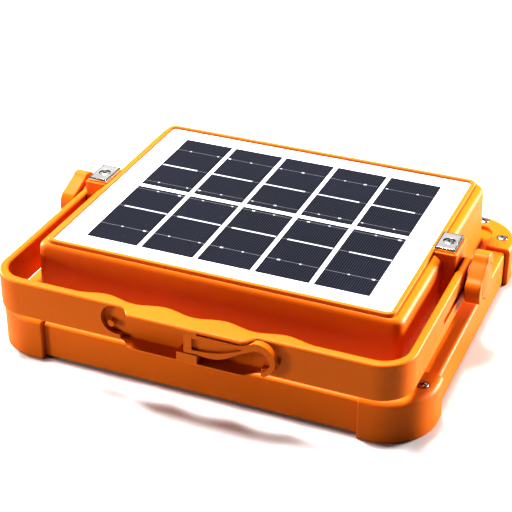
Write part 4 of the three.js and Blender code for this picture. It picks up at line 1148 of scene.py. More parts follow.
@dataclass(frozen=True)
class CornerGuards:
    """Four screwed caps over the corners of the lamp head."""

    half_x: float = 101.0
    half_y: float = 85.3
    corner: float = 22.3
    edge: float = 2.8
    foot_edge: float = 0.6
    front_leg: float = 28.0
    side_leg: float = 29.3
    shelf_y: float = 10.5
    shelf_x: float = 11.9
    inside: float = 7.2
    inside_steps: int = 10
    end_edge: float = 0.9
    end_margin: float = 0.1
    end_angle: float = 55.0
    head_hole: float = 2.8
    shank_hole: float = 1.55

    def outer(self) -> Solid:
        """Models the rounded block that all four guards are cut from.

        Returns:
            The solid.
        """
        foot = self.foot_edge
        rings = [(self.half_x - foot, self.half_y - foot, self.corner - foot, 0.0),
                 (self.half_x, self.half_y, self.corner, foot)]
        for angle in arc_steps(WIDE_STEPS):
            inset = self.edge * (1 - math.cos(angle))
            rings.append((self.half_x - inset, self.half_y - inset, self.corner - inset,
                          HEAD.guard_top - self.edge * (1 - math.sin(angle))))
        return Solid().loft(rings, GUARD_CORNER_STEPS)

    def prism(self) -> Solid:
        """Models the L-shaped plan of the guard at +X and +Y.

        Returns:
            The solid.
        """
        leg_x, leg_y = self.half_x - self.front_leg, self.half_y - self.side_leg
        shelf_x, shelf_y = self.half_x - self.shelf_x, self.half_y - self.shelf_y
        far_x, far_y = self.half_x + OVERRUN, self.half_y + OVERRUN
        solid = Solid()
        pen = Pen(solid.mesh, (leg_x, far_y, -OVERRUN))
        pen.line((leg_x, shelf_y, -OVERRUN)).line((shelf_x - self.inside, shelf_y, -OVERRUN))
        pen.bend((shelf_x, shelf_y, -OVERRUN), (shelf_x, shelf_y - self.inside, -OVERRUN), self.inside_steps)
        pen.line((shelf_x, leg_y, -OVERRUN)).line((far_x, leg_y, -OVERRUN)).line((far_x, far_y, -OVERRUN))
        return solid.raise_face(pen.close(), (0, 0, HEAD.guard_top + 2 * OVERRUN))

    def is_outer_corner(self, edge: bmesh.types.BMEdge) -> bool:
        """Says if an edge is a convex corner of the guard's outside, away from the slab it lies on.

        Args:
            edge: The edge.

        Returns:
            Whether it is rounded.
        """
        sizes = (HEAD.slab_x, HEAD.slab_y, HEAD.slab_top)
        reach_x, reach_y, reach_z = (size + FIT + self.end_margin for size in sizes)
        outside = all(abs(v.co.x) > reach_x or abs(v.co.y) > reach_y or v.co.z > reach_z for v in edge.verts)
        return outside and edge.is_convex and edge.calc_face_angle(0.0) > math.radians(self.end_angle)

    def build(self) -> None:
        """Builds the four guards with their countersunk screw holes."""
        first = self.outer().meet(self.prism()).cut(Solid().loft(HEAD.slab_rings(FIT), GUARD_CORNER_STEPS))
        first.round_edges(self.end_edge, SOFT_STEPS, self.is_outer_corner)
        over = HEAD.guard_top + OVERRUN
        for end, way_y in (("front", -1), ("rear", 1)):
            for side, way_x in (("left", -1), ("right", 1)):
                guard = first.copy().move(scale=(way_x, way_y, 1))
                for tag in ("side", "end"):
                    place = HEAD.screw_places()[f"{end}_{side}_{tag}"]
                    guard.cut(Solid().bar("z", self.shank_hole, HEAD.slab_top, over, place, SCREW_HOLE_STEPS))
                    guard.cut(Solid().bar("z", self.head_hole, HEAD.screw_seat, over, place, HOLE_STEPS))
                publish(guard, f"guard_{end}_{side}", Body.LAMP, TRIM,
                        [f"corner_guard_{end}_{side}"])


def soften(piece: bpy.types.Object, width: float, angle: float = 50.0) -> None:
    """Rounds a piece's remaining sharp edges with a bevel modifier.

    Args:
        piece: The piece.
        width: Width of the rounding in millimetres.
        angle: Angle in degrees above which an edge is rounded.
    """
    bevel = piece.modifiers.new("soft_edges", "BEVEL")
    bevel.width = width * MM
    bevel.segments = FEW_STEPS
    bevel.limit_method = "ANGLE"
    bevel.angle_limit = math.radians(angle)
    bevel.use_clamp_overlap = True
    bevel.miter_outer = "MITER_ARC"
    bevel.harden_normals = False
    piece.modifiers.move(len(piece.modifiers) - 1, 0)


@dataclass(frozen=True)
class CrossScrew:
    """Pan-head screw with a cross recess."""

    head: float = 2.5
    height: float = 1.4
    rim: float = 0.55
    shank: float = 1.25
    cross_width: float = 0.7
    cross_length: float = 2.9
    cross_depth: float = 0.85
    cross_edge: float = 0.12
    point_inset: float = 0.4
    point_length: float = 0.5
    crown_steps: int = 7
    crown_share: float = 0.93
    crown_power: float = 0.8

    def solid(self, length: float) -> Solid:
        """Models the screw, standing on its seat at height zero.

        Args:
            length: Length of the shank.

        Returns:
            The solid.
        """
        profile = [(0.0, -length), (self.shank - self.point_inset, -length),
                   (self.shank, -length + self.point_length), (self.shank, 0.0),
                   (self.head, 0.0), (self.head, self.rim)]
        rise = self.height - self.rim
        for angle in arc_steps(self.crown_steps)[1:-1]:
            profile.append((self.head * math.cos(angle * self.crown_share),
                            self.rim + rise * math.sin(angle) ** self.crown_power))
        profile.append((0.0, self.rim + rise))
        body = Solid().turn(profile, SCREW_STEPS)
        floor, top = self.height - self.cross_depth, self.height + OVERRUN
        long, thin = self.cross_length / 2, self.cross_width / 2
        cross = Solid().block((-long, -thin, floor), (long, thin, top), self.cross_edge, FEW_STEPS)
        cross.join(Solid().block((-thin, -long, floor), (thin, long, top), self.cross_edge, FEW_STEPS))
        return body.cut(cross)


@dataclass(frozen=True)
class ScrewSet:
    """The eight screws of the guards and the two of the magnet plates."""

    guard_length: float = 11.0
    magnet_length: float = 7.0
    twist: float = 0.55
    first_twist: float = 0.2
    plate_twist: float = 0.35

    def build(self) -> None:
        """Builds every screw, each with its own twist of the cross."""
        guard = CrossScrew().solid(self.guard_length)
        for number, (tag, place) in enumerate(HEAD.screw_places().items()):
            turn = Matrix.Rotation(self.twist * number + self.first_twist, 3, "Z")
            screw = guard.copy().move((*place, HEAD.screw_seat), turn)
            publish(screw, f"cross_screw_{tag}", Body.LAMP, ZINC, [f"guard_screw_{tag}"])
        magnet = CrossScrew().solid(self.magnet_length)
        plates = MagnetPlates()
        for side, way in (("left", -1), ("right", 1)):
            turn = Matrix.Rotation(self.plate_twist * way, 3, "Z")
            screw = magnet.copy().move((way * plates.centre, 0, plates.seat), turn)
            publish(screw, f"plate_screw_{side}", Body.LAMP, ZINC, [f"magnet_screw_{side}"])


@dataclass(frozen=True)
class MagnetPlates:
    """The nickel plates on the side bosses."""

    centre: float = 84.7
    half_x: float = 4.7
    half_y: float = 7.5
    thickness: float = 1.6
    corner: float = 0.4
    edge: float = 0.12
    groove: float = 0.7
    groove_depth: float = 0.5
    face_corner: float = 0.25
    glue_inset: float = 0.05
    glue_edge: float = 0.12
    glue_slope: float = 0.1
    glue_fit: float = 0.02
    head_hole: float = 2.8
    shank_hole: float = 1.55

    @property
    def seat(self) -> float:
        """Height of the screw's seat."""
        return HEAD.boss_top + self.thickness - CrossScrew().height

    def plate(self, step: float, top: float, place: Sequence[float]) -> Solid:
        """Models a plate with its raised face and its screw hole.

        Args:
            step: Height of the groove's floor.
            top: Height of the face.
            place: The plate's middle.

        Returns:
            The solid.
        """
        foot = (self.half_x, self.half_y, self.corner)
        rings = [(*foot, HEAD.boss_top), (*foot, step),
                 (self.half_x - self.groove, self.half_y - self.groove, self.face_corner, step)]
        for angle in arc_steps(SOFT_STEPS):
            inset = self.groove + self.edge * (1 - math.cos(angle))
            rings.append((self.half_x - inset, self.half_y - inset, self.face_corner,
                          top - self.edge * (1 - math.sin(angle))))
        plate = Solid().loft(rings, SMALL_CORNER_STEPS, place)
        over = top + OVERRUN
        plate.cut(Solid().bar("z", self.shank_hole, HEAD.boss_top - OVERRUN, over, place, BORE_STEPS))
        return plate.cut(Solid().bar("z", self.head_hole, self.seat, over, place, SCREW_STEPS))

    def glue(self, step: float, top: float, place: Sequence[float]) -> Solid:
        """Models the line of glue in the groove round a plate's face.

        Args:
            step: Height of the groove's floor.
            top: Height of the face.
            place: The plate's middle.

        Returns:
            The solid.
        """
        inset, edge = self.glue_inset, self.glue_edge
        seam = Solid().loft([
            (self.half_x - inset, self.half_y - inset, self.corner, step + self.glue_fit),
            (self.half_x - inset, self.half_y - inset, self.corner, top - edge),
            (self.half_x - edge, self.half_y - edge, self.corner - self.glue_slope, top - inset)],
            SMALL_CORNER_STEPS, place)
        inside = (self.half_x - self.groove + self.glue_fit, self.half_y - self.groove + self.glue_fit,
                  self.face_corner)
        return seam.cut(Solid().loft([(*inside, step - OVERRUN), (*inside, top + OVERRUN)],
                                     SMALL_CORNER_STEPS, place))

    def build(self) -> None:
        """Builds both plates and their glue lines."""
        top = HEAD.boss_top + self.thickness
        step = top - self.groove_depth
        for side, way in (("left", -1), ("right", 1)):
            place = (way * self.centre, 0.0)
            publish(self.glue(step, top, place), f"magnet_glue_{side}", Body.LAMP, GLUE)
            publish(self.plate(step, top, place), f"nickel_plate_{side}", Body.LAMP, NICKEL,
                    [f"magnet_plate_{side}"])


@dataclass(frozen=True)
class SolarPanel:
    """White laminate with ten dark cells, their silver ribbons, thin lines and solder pads."""

    half_x: float = 78.0
    half_y: float = 62.3
    floor: float = 46.6
    board_top: float = 48.2
    top: float = 48.5
    corner: float = 1.5
    board_edge: float = 0.15
    corner_steps: int = 6
    columns: int = 5
    cell_width: float = 24.5
    pitch_x: float = 26.8
    line_width: float = 0.28
    ribbon_width: float = 1.1
    pad: float = 0.85
    large_pad: float = 1.2
    proud: float = 0.03
    line_places: tuple[float, ...] = (40.8, 4.9, -3.7, -40.0)
    ribbon_places: tuple[float, float] = (22.9, -22.0)
    back_shares: tuple[tuple[float, float], ...] = (
        (0.30, 0.90), (0.06, 0.52), (0.07, 0.53), (0.31, 0.72), (0.07, 0.68))
    front_shares: tuple[tuple[float, float], ...] = (
        (0.45, 0.90), (0.30, 0.90), (0.24, 0.65), (0.24, 0.65), (0.45, 0.90))
    back_large: tuple[int, ...] = (-1, 0, 1, 1, -1)
    front_large: tuple[int, ...] = (1, -1, 0, 0, 1)
    pad_shares: tuple[float, float] = (0.6, 0.45)
    pad_edge: float = 0.02
    ribbon_edge: float = 0.04
    front_ribbon_shares: tuple[float, float] = (0.12, 0.99)
    front_last_ribbon_shares: tuple[float, float] = (0.20, 0.99)
    back_ribbon_shares: tuple[float, float] = (0.0, 0.85)
    back_first_ribbon_shares: tuple[float, float] = (0.03, 0.77)

    def line(self, solid: Solid, left: float, y: float) -> None:
        """Lays one thin line across a cell."""
        solid.block((left, y - self.line_width / 2, self.top - self.proud),
                    (left + self.cell_width, y + self.line_width / 2, self.top + self.proud))

    def solder(self, solid: Solid, x: float, y: float, large: bool) -> None:
        """Sets one solder pad on a line.

        Args:
            solid: The solid that it is added to.
            x: Its middle in X.
            y: Its middle in Y.
            large: Whether it is a large one.
        """
        size = self.large_pad if large else self.pad
        half_x, half_y = (size * share for share in self.pad_shares)
        solid.block((x - half_x, y - half_y, self.top), (x + half_x, y + half_y, self.top + 2 * self.proud),
                    self.pad_edge, 1)

    def ribbon_shares(self, row: int, column: int) -> tuple[float, float]:
        """Gives the ends of a cell's ribbon.

        Args:
            row: 0 in front and 1 behind.
            column: Column from the left.

        Returns:
            Both ends, as shares of the cell's width.
        """
        if row == 0:
            return self.front_last_ribbon_shares if column == self.columns - 1 else self.front_ribbon_shares
        return self.back_first_ribbon_shares if column == 0 else self.back_ribbon_shares

    def build(self) -> None:
        """Builds the sheet, the cells' finish and what is printed and soldered on them."""
        edge = self.board_edge
        sheet = Solid().loft([
            (self.half_x, self.half_y, self.corner, self.floor),
            (self.half_x, self.half_y, self.corner, self.board_top - edge),
            (self.half_x - edge, self.half_y - edge, self.corner - edge, self.board_top)], self.corner_steps)
        publish(sheet, "panel_sheet", Body.LAMP, WHITE_SHEET, ["panel_board"])
        for number in range(1, 2 * self.columns + 1):
            dress_node(f"solar_cell_{number}", WAFER)
        lines, ribbons, pads = Solid(), Solid(), Solid()
        rows = ((self.front_shares, self.front_large, self.line_places[2:], self.ribbon_places[1]),
                (self.back_shares, self.back_large, self.line_places[:2], self.ribbon_places[0]))
        for row, (shares, large, line_places, ribbon_y) in enumerate(rows):
            for column in range(self.columns):
                left = (column - self.columns // 2) * self.pitch_x - self.cell_width / 2
                for y in line_places:
                    self.line(lines, left, y)
                    for number, share in enumerate(shares[column]):
                        self.solder(pads, left + share * self.cell_width, y, large[column] == number)
                self.line(lines, left, ribbon_y)
                start, end = (left + share * self.cell_width for share in self.ribbon_shares(row, column))
                ribbons.block((start, ribbon_y - self.ribbon_width / 2, self.top),
                              (end, ribbon_y + self.ribbon_width / 2, self.top + 3 * self.proud),
                              self.ribbon_edge, FEW_STEPS)
        publish(lines, "cell_silver_lines", Body.LAMP, WIRE)
        publish(ribbons, "cell_ribbons", Body.LAMP, RIBBON)
        publish(pads, "cell_solder_pads", Body.LAMP, RIBBON)


@dataclass(frozen=True)
class Handle:
    """The U-shaped carrying handle with its waved grip, hollow front and grooved arms."""

    outer: float = 94.5
    inner: float = 90.9
    front: float = 91.5
    back: float = 10.0
    corner: float = 15.0
    bar: float = 4.5
    bulge: float = 5.0
    bulge_half: float = 24.5
    blend: float = 7.5
    grip_x: float = 1.6
    wave_pitch: float = 27.2
    wave_height: float = 1.3
    wave_count: int = 4
    bottom: float = 25.1
    top: float = 42.5
    edge: float = 1.2
    end_y: float = 1.3
    flange: float = 1.3
    pocket_depth: float = 2.6
    end_radius: float = 6.8
    end_reach: float = 40.8
    end_rise: float = 1.2
    peg: float = 1.6
    peg_height: float = 2.5
    peg_inset: float = 4.6
    groove_width: float = 3.4
    groove_depth: float = 1.0
    groove_reach: float = 38.0
    groove_foot: float = 7.0
    bolt_hole: float = 2.7
    pin_hole: float = 1.1
    lug_half: float = 4.6
    lug_shift: float = 1.0
    upper_lug: float = 0.9
    lower_lug: float = 4.0
    relief: float = 8.2
    relief_x: float = 30.1
    relief_z: float = 34.0
    pin_shift: float = 1.3
    pin_inset: float = 1.8
    pocket_edge: float = 0.5
    peg_edge: float = 0.25
    soft_edge: float = 0.22
    slack: float = 0.01
    corner_steps: int = 18
    inner_steps: int = 14
    blend_steps: int = 12
    wave_steps: int = 16
    edge_steps: int = 4
    end_steps: int = 28

    @property
    def middle(self) -> float:
        """Height of the middle of the bar."""
        return (self.bottom + self.top) / 2

    @property
    def pin_place(self) -> tuple[float, float]:
        """Place of the hook's pin."""
        return (self.grip_x + self.pin_shift, -self.front - self.bulge + self.pin_inset)

    def plan(self) -> Solid:
        """Draws the plan of the handle and raises it to its height.

        Returns:
            The solid.
        """
        solid, z = Solid(), self.bottom
        front, bulged = -self.front, -self.front - self.bulge
        inner_front, inner_corner = front + self.bar, self.corner - (self.outer - self.inner)
        start, end, half = self.grip_x - self.bulge_half, self.grip_x + self.bulge_half, self.blend / 2
        pen = Pen(solid.mesh, (-self.outer, self.back, z))
        pen.line((-self.outer, front + self.corner, z))
        pen.arc((-self.outer + self.corner, front + self.corner, z), math.pi / 2, self.corner_steps)
        pen.line((start - self.blend, front, z))
        pen.curve((start - half, front, z), (start - half, bulged, z), (start, bulged, z),
                  self.blend_steps)
        pen.line((end, bulged, z))
        pen.curve((end + half, bulged, z), (end + half, front, z), (end + self.blend, front, z),
                  self.blend_steps)
        pen.line((self.outer - self.corner, front, z))
        pen.arc((self.outer - self.corner, front + self.corner, z), math.pi / 2, self.corner_steps)
        pen.line((self.outer, self.back, z)).line((self.inner, self.back, z))
        pen.line((self.inner, inner_front + inner_corner, z))
        pen.arc((self.inner - inner_corner, inner_front + inner_corner, z), -math.pi / 2, self.inner_steps)
        steps = self.wave_count * self.wave_steps
        reach = self.wave_count * self.wave_pitch / 2
        for step in range(steps + 1):
            along = reach - step / steps * 2 * reach
            swell = self.wave_height * (1 - math.cos(math.tau * along / self.wave_pitch))
            pen.line((self.grip_x + along, inner_front + swell, z))
        pen.line((-self.inner + inner_corner, inner_front, z))
        pen.arc((-self.inner + inner_corner, inner_front + inner_corner, z), -math.pi / 2, self.inner_steps)
        pen.line((-self.inner, self.back, z))
        solid.raise_face(pen.close(), (0, 0, self.top - self.bottom))
        return solid.round_edges(self.edge, self.edge_steps,
                                 lambda e: abs(e.verts[0].co.z - e.verts[1].co.z) < NEAR)

    def side(self) -> Solid:
        """Draws the handle's side view, which rounds the ends of the arms, and pushes it through.

        Returns:
            The solid.
        """
        solid = Solid()
        x, far = -self.outer - OVERRUN, -self.front - self.bulge - OVERRUN
        pen = Pen(solid.mesh, (x, far, self.bottom - self.slack))
        pen.line((x, self.end_y, self.bottom - self.slack))
        pen.arc((x, self.end_y, self.middle), math.pi, self.end_steps, (1, 0, 0))
        pen.line((x, far, self.top + self.slack))
        return solid.raise_face(pen.close(), (2 * (self.outer + OVERRUN), 0, 0))

    def pocket(self) -> Solid:
        """Models the hollow in the front of the grip.

        Returns:
            The solid.
        """
        front, floor = -self.front - self.bulge - OVERRUN, -self.front + self.pocket_depth
        half = self.bulge_half + self.blend
        low, high = self.bottom + self.flange, self.top - self.flange
        solid = Solid().block((self.grip_x - half, front, low), (self.grip_x + half, floor, high),
                              self.pocket_edge)
        rise, reach = self.middle + self.end_rise, self.end_reach - self.end_radius
        solid.join(Solid().block((self.grip_x - reach, front, rise - self.end_radius),
                                 (self.grip_x + reach, floor, high)))
        for way in (-1, 1):
            solid.join(Solid().bar("y", self.end_radius, front, floor, (self.grip_x + way * reach, rise)))
            solid.join(Solid().bar("y", self.relief, front, -self.front,
                                   (self.pin_place[0] + way * self.relief_x, self.relief_z)))
        return solid

    def build(self) -> None:
        """Builds the handle with its lugs, pegs, holes and grooves."""
        body = self.plan().meet(self.side()).cut(self.pocket())
        floor = -self.front + self.pocket_depth
        middle = self.grip_x + self.lug_shift
        face, foot, roof = -self.front - self.bulge, self.bottom + self.flange, self.top - self.flange
        for low, high in ((roof - self.upper_lug, roof + WELD), (foot - WELD, foot + self.lower_lug)):
            body.join(Solid().block((middle - self.lug_half, face, low),
                                    (middle + self.lug_half, floor + WELD, high)))
        for way in (-1, 1):
            place = (self.grip_x + way * (self.end_reach - self.peg_inset), self.middle - self.end_rise)
            body.join(Solid().bar("y", self.peg, floor - self.peg_height, floor + WELD, place, BORE_STEPS,
                                  self.peg_edge, FEW_STEPS))
        for way in (-1, 1):
            ends = sorted((way * (self.inner - OVERRUN), way * (self.outer + OVERRUN)))
            body.cut(Solid().bar("x", self.bolt_hole, *ends, (0.0, HEAD.pivot_z), HOLE_STEPS))
            low, high = sorted((way * (self.outer - self.groove_depth), way * (self.outer + OVERRUN)))
            half = self.groove_width / 2
            tip = -self.groove_reach + half
            groove = Solid().block((low, tip, self.middle - half),
                                   (high, -self.groove_foot, self.middle + half))
            body.cut(groove.join(Solid().bar("x", half, low, high, (tip, self.middle), HOLE_STEPS)))
        body.cut(Solid().bar("z", self.pin_hole, foot, roof, self.pin_place, BORE_STEPS))
        piece = publish(body, "carrying_handle", Body.HANDLE, ORANGE, ["handle_frame"])
        soften(piece, self.soft_edge)


@dataclass(frozen=True)
class HookBody:
    """The fold-out hook with its recessed face, curl and rounded tip, and the pin it turns on."""

    low: float = 30.7
    high: float = 40.0
    knuckle: float = 1.6
    thickness: float = 3.0
    curl_x: float = 30.1
    curl_z: float = 34.0
    curl: float = 7.9
    neck_x: float = 21.1
    neck_top: float = 39.37
    neck_low: float = 34.17
    inner_x: float = 5.7
    inner_z: float = 5.0
    inner_middle: float = 33.3
    tip_reach: float = 6.8
    tip_turn: float = -0.36
    curl_turn: float = 0.55
    inner_turn: float = 0.6
    throat_x: float = 23.7
    belly: float = 0.6
    belly_share: float = 0.72
    lug_end: float = 4.6
    rim: float = 1.9
    pocket_depth: float = 1.3
    pocket_x: float = 24.0
    pocket_fall: float = 0.63
    pocket_share: float = 0.6
    soft_edge: float = 0.3
    tilt: float = 0.04
    pin: float = 0.8
    pin_hole: float = 1.1
    pin_low: float = 26.7
    pin_high: float = 40.9
    pin_edge: float = 0.2
    neck_steps: int = 10
    lead_steps: int = 8
    curl_steps: int = 36
    tip_steps: int = 10
    inner_steps: int = 32
    throat_steps: int = 6
    belly_steps: int = 8
    heel_steps: int = 5
    pocket_steps: int = 16

    def outline(self) -> Solid:
        """Draws the hook from the front and gives it its thickness.

        Returns:
            The solid.
        """
        solid, y = Solid(), -self.thickness / 2
        pen = Pen(solid.mesh, (-self.knuckle, y, self.low))
        pen.line((-self.knuckle, y, self.high))
        pen.bend((self.neck_x / 2, y, self.high), (self.neck_x, y, self.neck_top), self.neck_steps)
        start = math.pi * self.curl_turn
        first = (self.curl_x + self.curl * math.cos(start), y, self.curl_z + self.curl * math.sin(start))
        pen.bend((self.neck_x + self.curl / 2, y, self.neck_top), first, self.lead_steps)
        end = math.pi * self.tip_turn
        pen.arc((self.curl_x, y, self.curl_z), start - end, self.curl_steps, (0, 1, 0))
        centre = (self.curl_x + self.tip_reach * math.cos(end), y,
                  self.curl_z + self.tip_reach * math.sin(end))
        pen.arc(centre, math.pi, self.tip_steps, (0, 1, 0))
        last = math.pi * self.inner_turn
        for step in range(1, self.inner_steps + 1):
            angle = end + (last - end) * step / self.inner_steps
            pen.line((self.curl_x + self.inner_x * math.cos(angle), y,
                      self.inner_middle + self.inner_z * math.sin(angle)))
        pen.bend((self.throat_x, y, self.inner_middle + self.inner_z / 2), (self.neck_x, y, self.neck_low),
                 self.throat_steps)
        foot = self.low - self.belly
        pen.bend((self.neck_x * self.belly_share, y, foot), (self.neck_x / 2, y, foot), self.belly_steps)
        pen.bend(((self.neck_x / 2 + self.lug_end) / 2, y, foot), (self.lug_end, y, self.low),
                 self.heel_steps)
        return solid.raise_face(pen.close(), (0, self.thickness, 0))

    def recess(self) -> Solid:
        """Draws the flat recess in the hook's front face.

        Returns:
            The solid to cut with.
        """
        solid, y = Solid(), -self.thickness / 2 - OVERRUN
        low, high = self.low + self.rim, self.high - self.rim
        pen = Pen(solid.mesh, (self.rim, y, low))
        pen.line((self.rim, y, high)).line((self.pocket_x, y, high - self.pocket_fall))
        pen.bend((self.pocket_x * self.pocket_share, y, self.low - self.belly + self.rim), (self.rim, y, low),
                 self.pocket_steps)
        return solid.raise_face(pen.close(), (0, self.pocket_depth + OVERRUN, 0))

    def build(self) -> None:
        """Builds the hook and its pin where the grip holds them."""
        x, y = Handle().pin_place
        body = self.outline().cut(self.recess())
        shear = Matrix.Identity(4)
        shear[1][0] = self.tilt
        bmesh.ops.transform(body.mesh, matrix=shear, verts=body.mesh.verts)
        body.cut(Solid().bar("z", self.pin_hole, self.low - 2 * OVERRUN, self.high + OVERRUN, (0.0, 0.0),
                             BORE_STEPS))
        piece = publish(body.move((x, y, 0)), "folding_hook", Body.HOOK, ORANGE, ["hook"])
        soften(piece, self.soft_edge)
        pin = Solid().bar("z", self.pin, self.pin_low, self.pin_high, (x, y), BORE_STEPS, self.pin_edge,
                          FEW_STEPS)
        publish(pin, "hook_hinge_pin", Body.HANDLE, ZINC, ["hook_pin"])


@dataclass(frozen=True)
class ClampKnob:
    """Three-lobed clamping knob with its round cap and washer.

    The cap's points have an inset from its side and a height.
    """

    radius: float = 13.0
    valley: float = 9.6
    lobes: int = 3
    lobe_steps: int = 24
    thickness: float = 7.2
    edge: float = 0.9
    edge_steps: int = 4
    sharp: float = 40.0
    inner_face: float = 95.9
    turn: float = 0.19
    cap: float = 8.0
    cap_seat: float = 6.0
    cap_height: float = 1.7
    cap_points: tuple[tuple[float, float], ...] = (
        (0.0, 1.05), (0.12, 1.22), (1.4, 1.38), (3.2, 1.55), (5.6, 1.66))
    bolt_hole: float = 2.7
    head_hole: float = 4.4
    head_floor: float = 2.7
    head_sides: int = 6
    washer: float = 7.0
    washer_edge: float = 0.15
    washer_low: float = 94.8
    washer_high: float = 95.6

    def body(self) -> Solid:
        """Models the lobed body about the X axis, from zero to its thickness.

        Returns:
            The solid.
        """
        solid = Solid()
        middle, half = (self.radius + self.valley) / 2, (self.radius - self.valley) / 2
        steps = self.lobes * self.lobe_steps

        def place(step: int) -> tuple[float, float, float]:
            """Gives one point of the lobed outline.

            Args:
                step: Its number round the outline.

            Returns:
                The point.
            """
            angle = math.tau * step / steps
            wave = math.cos(self.lobes * angle)
            reach = middle + half * math.copysign(math.sqrt(abs(wave)), wave)
            return (0.0, reach * math.cos(angle), reach * math.sin(angle))

        pen = Pen(solid.mesh, place(0))
        for step in range(1, steps):
            pen.line(place(step))
        solid.raise_face(pen.close(), (self.thickness, 0, 0))
        solid.round_edges(self.edge, self.edge_steps,
                          lambda e: abs(e.verts[0].co.x - e.verts[1].co.x) < NEAR)
        bmesh.ops.rotate(solid.mesh, cent=(0, 0, 0), matrix=Matrix.Rotation(self.turn * math.tau, 3, "X"),
                         verts=solid.mesh.verts)
        over = self.thickness + OVERRUN
        solid.cut(Solid().bar("x", self.bolt_hole, -OVERRUN, over, (0, 0), HOLE_STEPS))
        solid.cut(Solid().bar("x", self.head_hole, self.head_floor, over, (0, 0), self.head_sides))
        return solid.cut(Solid().bar("x", self.cap + FIT, self.cap_seat, over, (0, 0), FINE_STEPS))

    def crown(self) -> Solid:
        """Models the round cap with its low crown and rounded rim, about the X axis.

        Returns:
            The solid.
        """
        crown = [(self.cap - inset, height) for inset, height in self.cap_points]
        solid = Solid().turn([(0, 0), (self.cap, 0), *crown, (0, self.cap_height)], FINE_STEPS)
        bmesh.ops.rotate(solid.mesh, cent=(0, 0, 0), matrix=Matrix.Rotation(math.pi / 2, 3, "Y"),
                         verts=solid.mesh.verts)
        return solid.move((self.cap_seat, 0, 0))

    def build(self) -> None:
        """Builds both knobs with their caps and washers."""
        for side, way, body in (("left", -1, Body.KNOB_LEFT), ("right", 1, Body.KNOB_RIGHT)):
            turn = Matrix.Rotation(0.0 if way > 0 else math.pi, 3, "Y")
            place = (way * self.inner_face, 0, HEAD.pivot_z)
            publish(self.body().move(place, turn), f"clamp_knob_{side}", body, ORANGE,
                    [f"knob_{side}"], self.sharp)
            publish(self.crown().move(place, turn), f"clamp_knob_cap_{side}", body, TRIM,
                    [f"knob_cap_{side}"])
            low, high = sorted((way * self.washer_low, way * self.washer_high))
            axis = (0.0, HEAD.pivot_z)
            washer = Solid().bar("x", self.washer, low, high, axis, FINE_STEPS, self.washer_edge, FEW_STEPS)
            washer.cut(Solid().bar("x", self.bolt_hole, low - OVERRUN, high + OVERRUN, axis, HOLE_STEPS))
            publish(washer, f"rubber_washer_{side}", body, WASHER, [f"pivot_washer_{side}"])


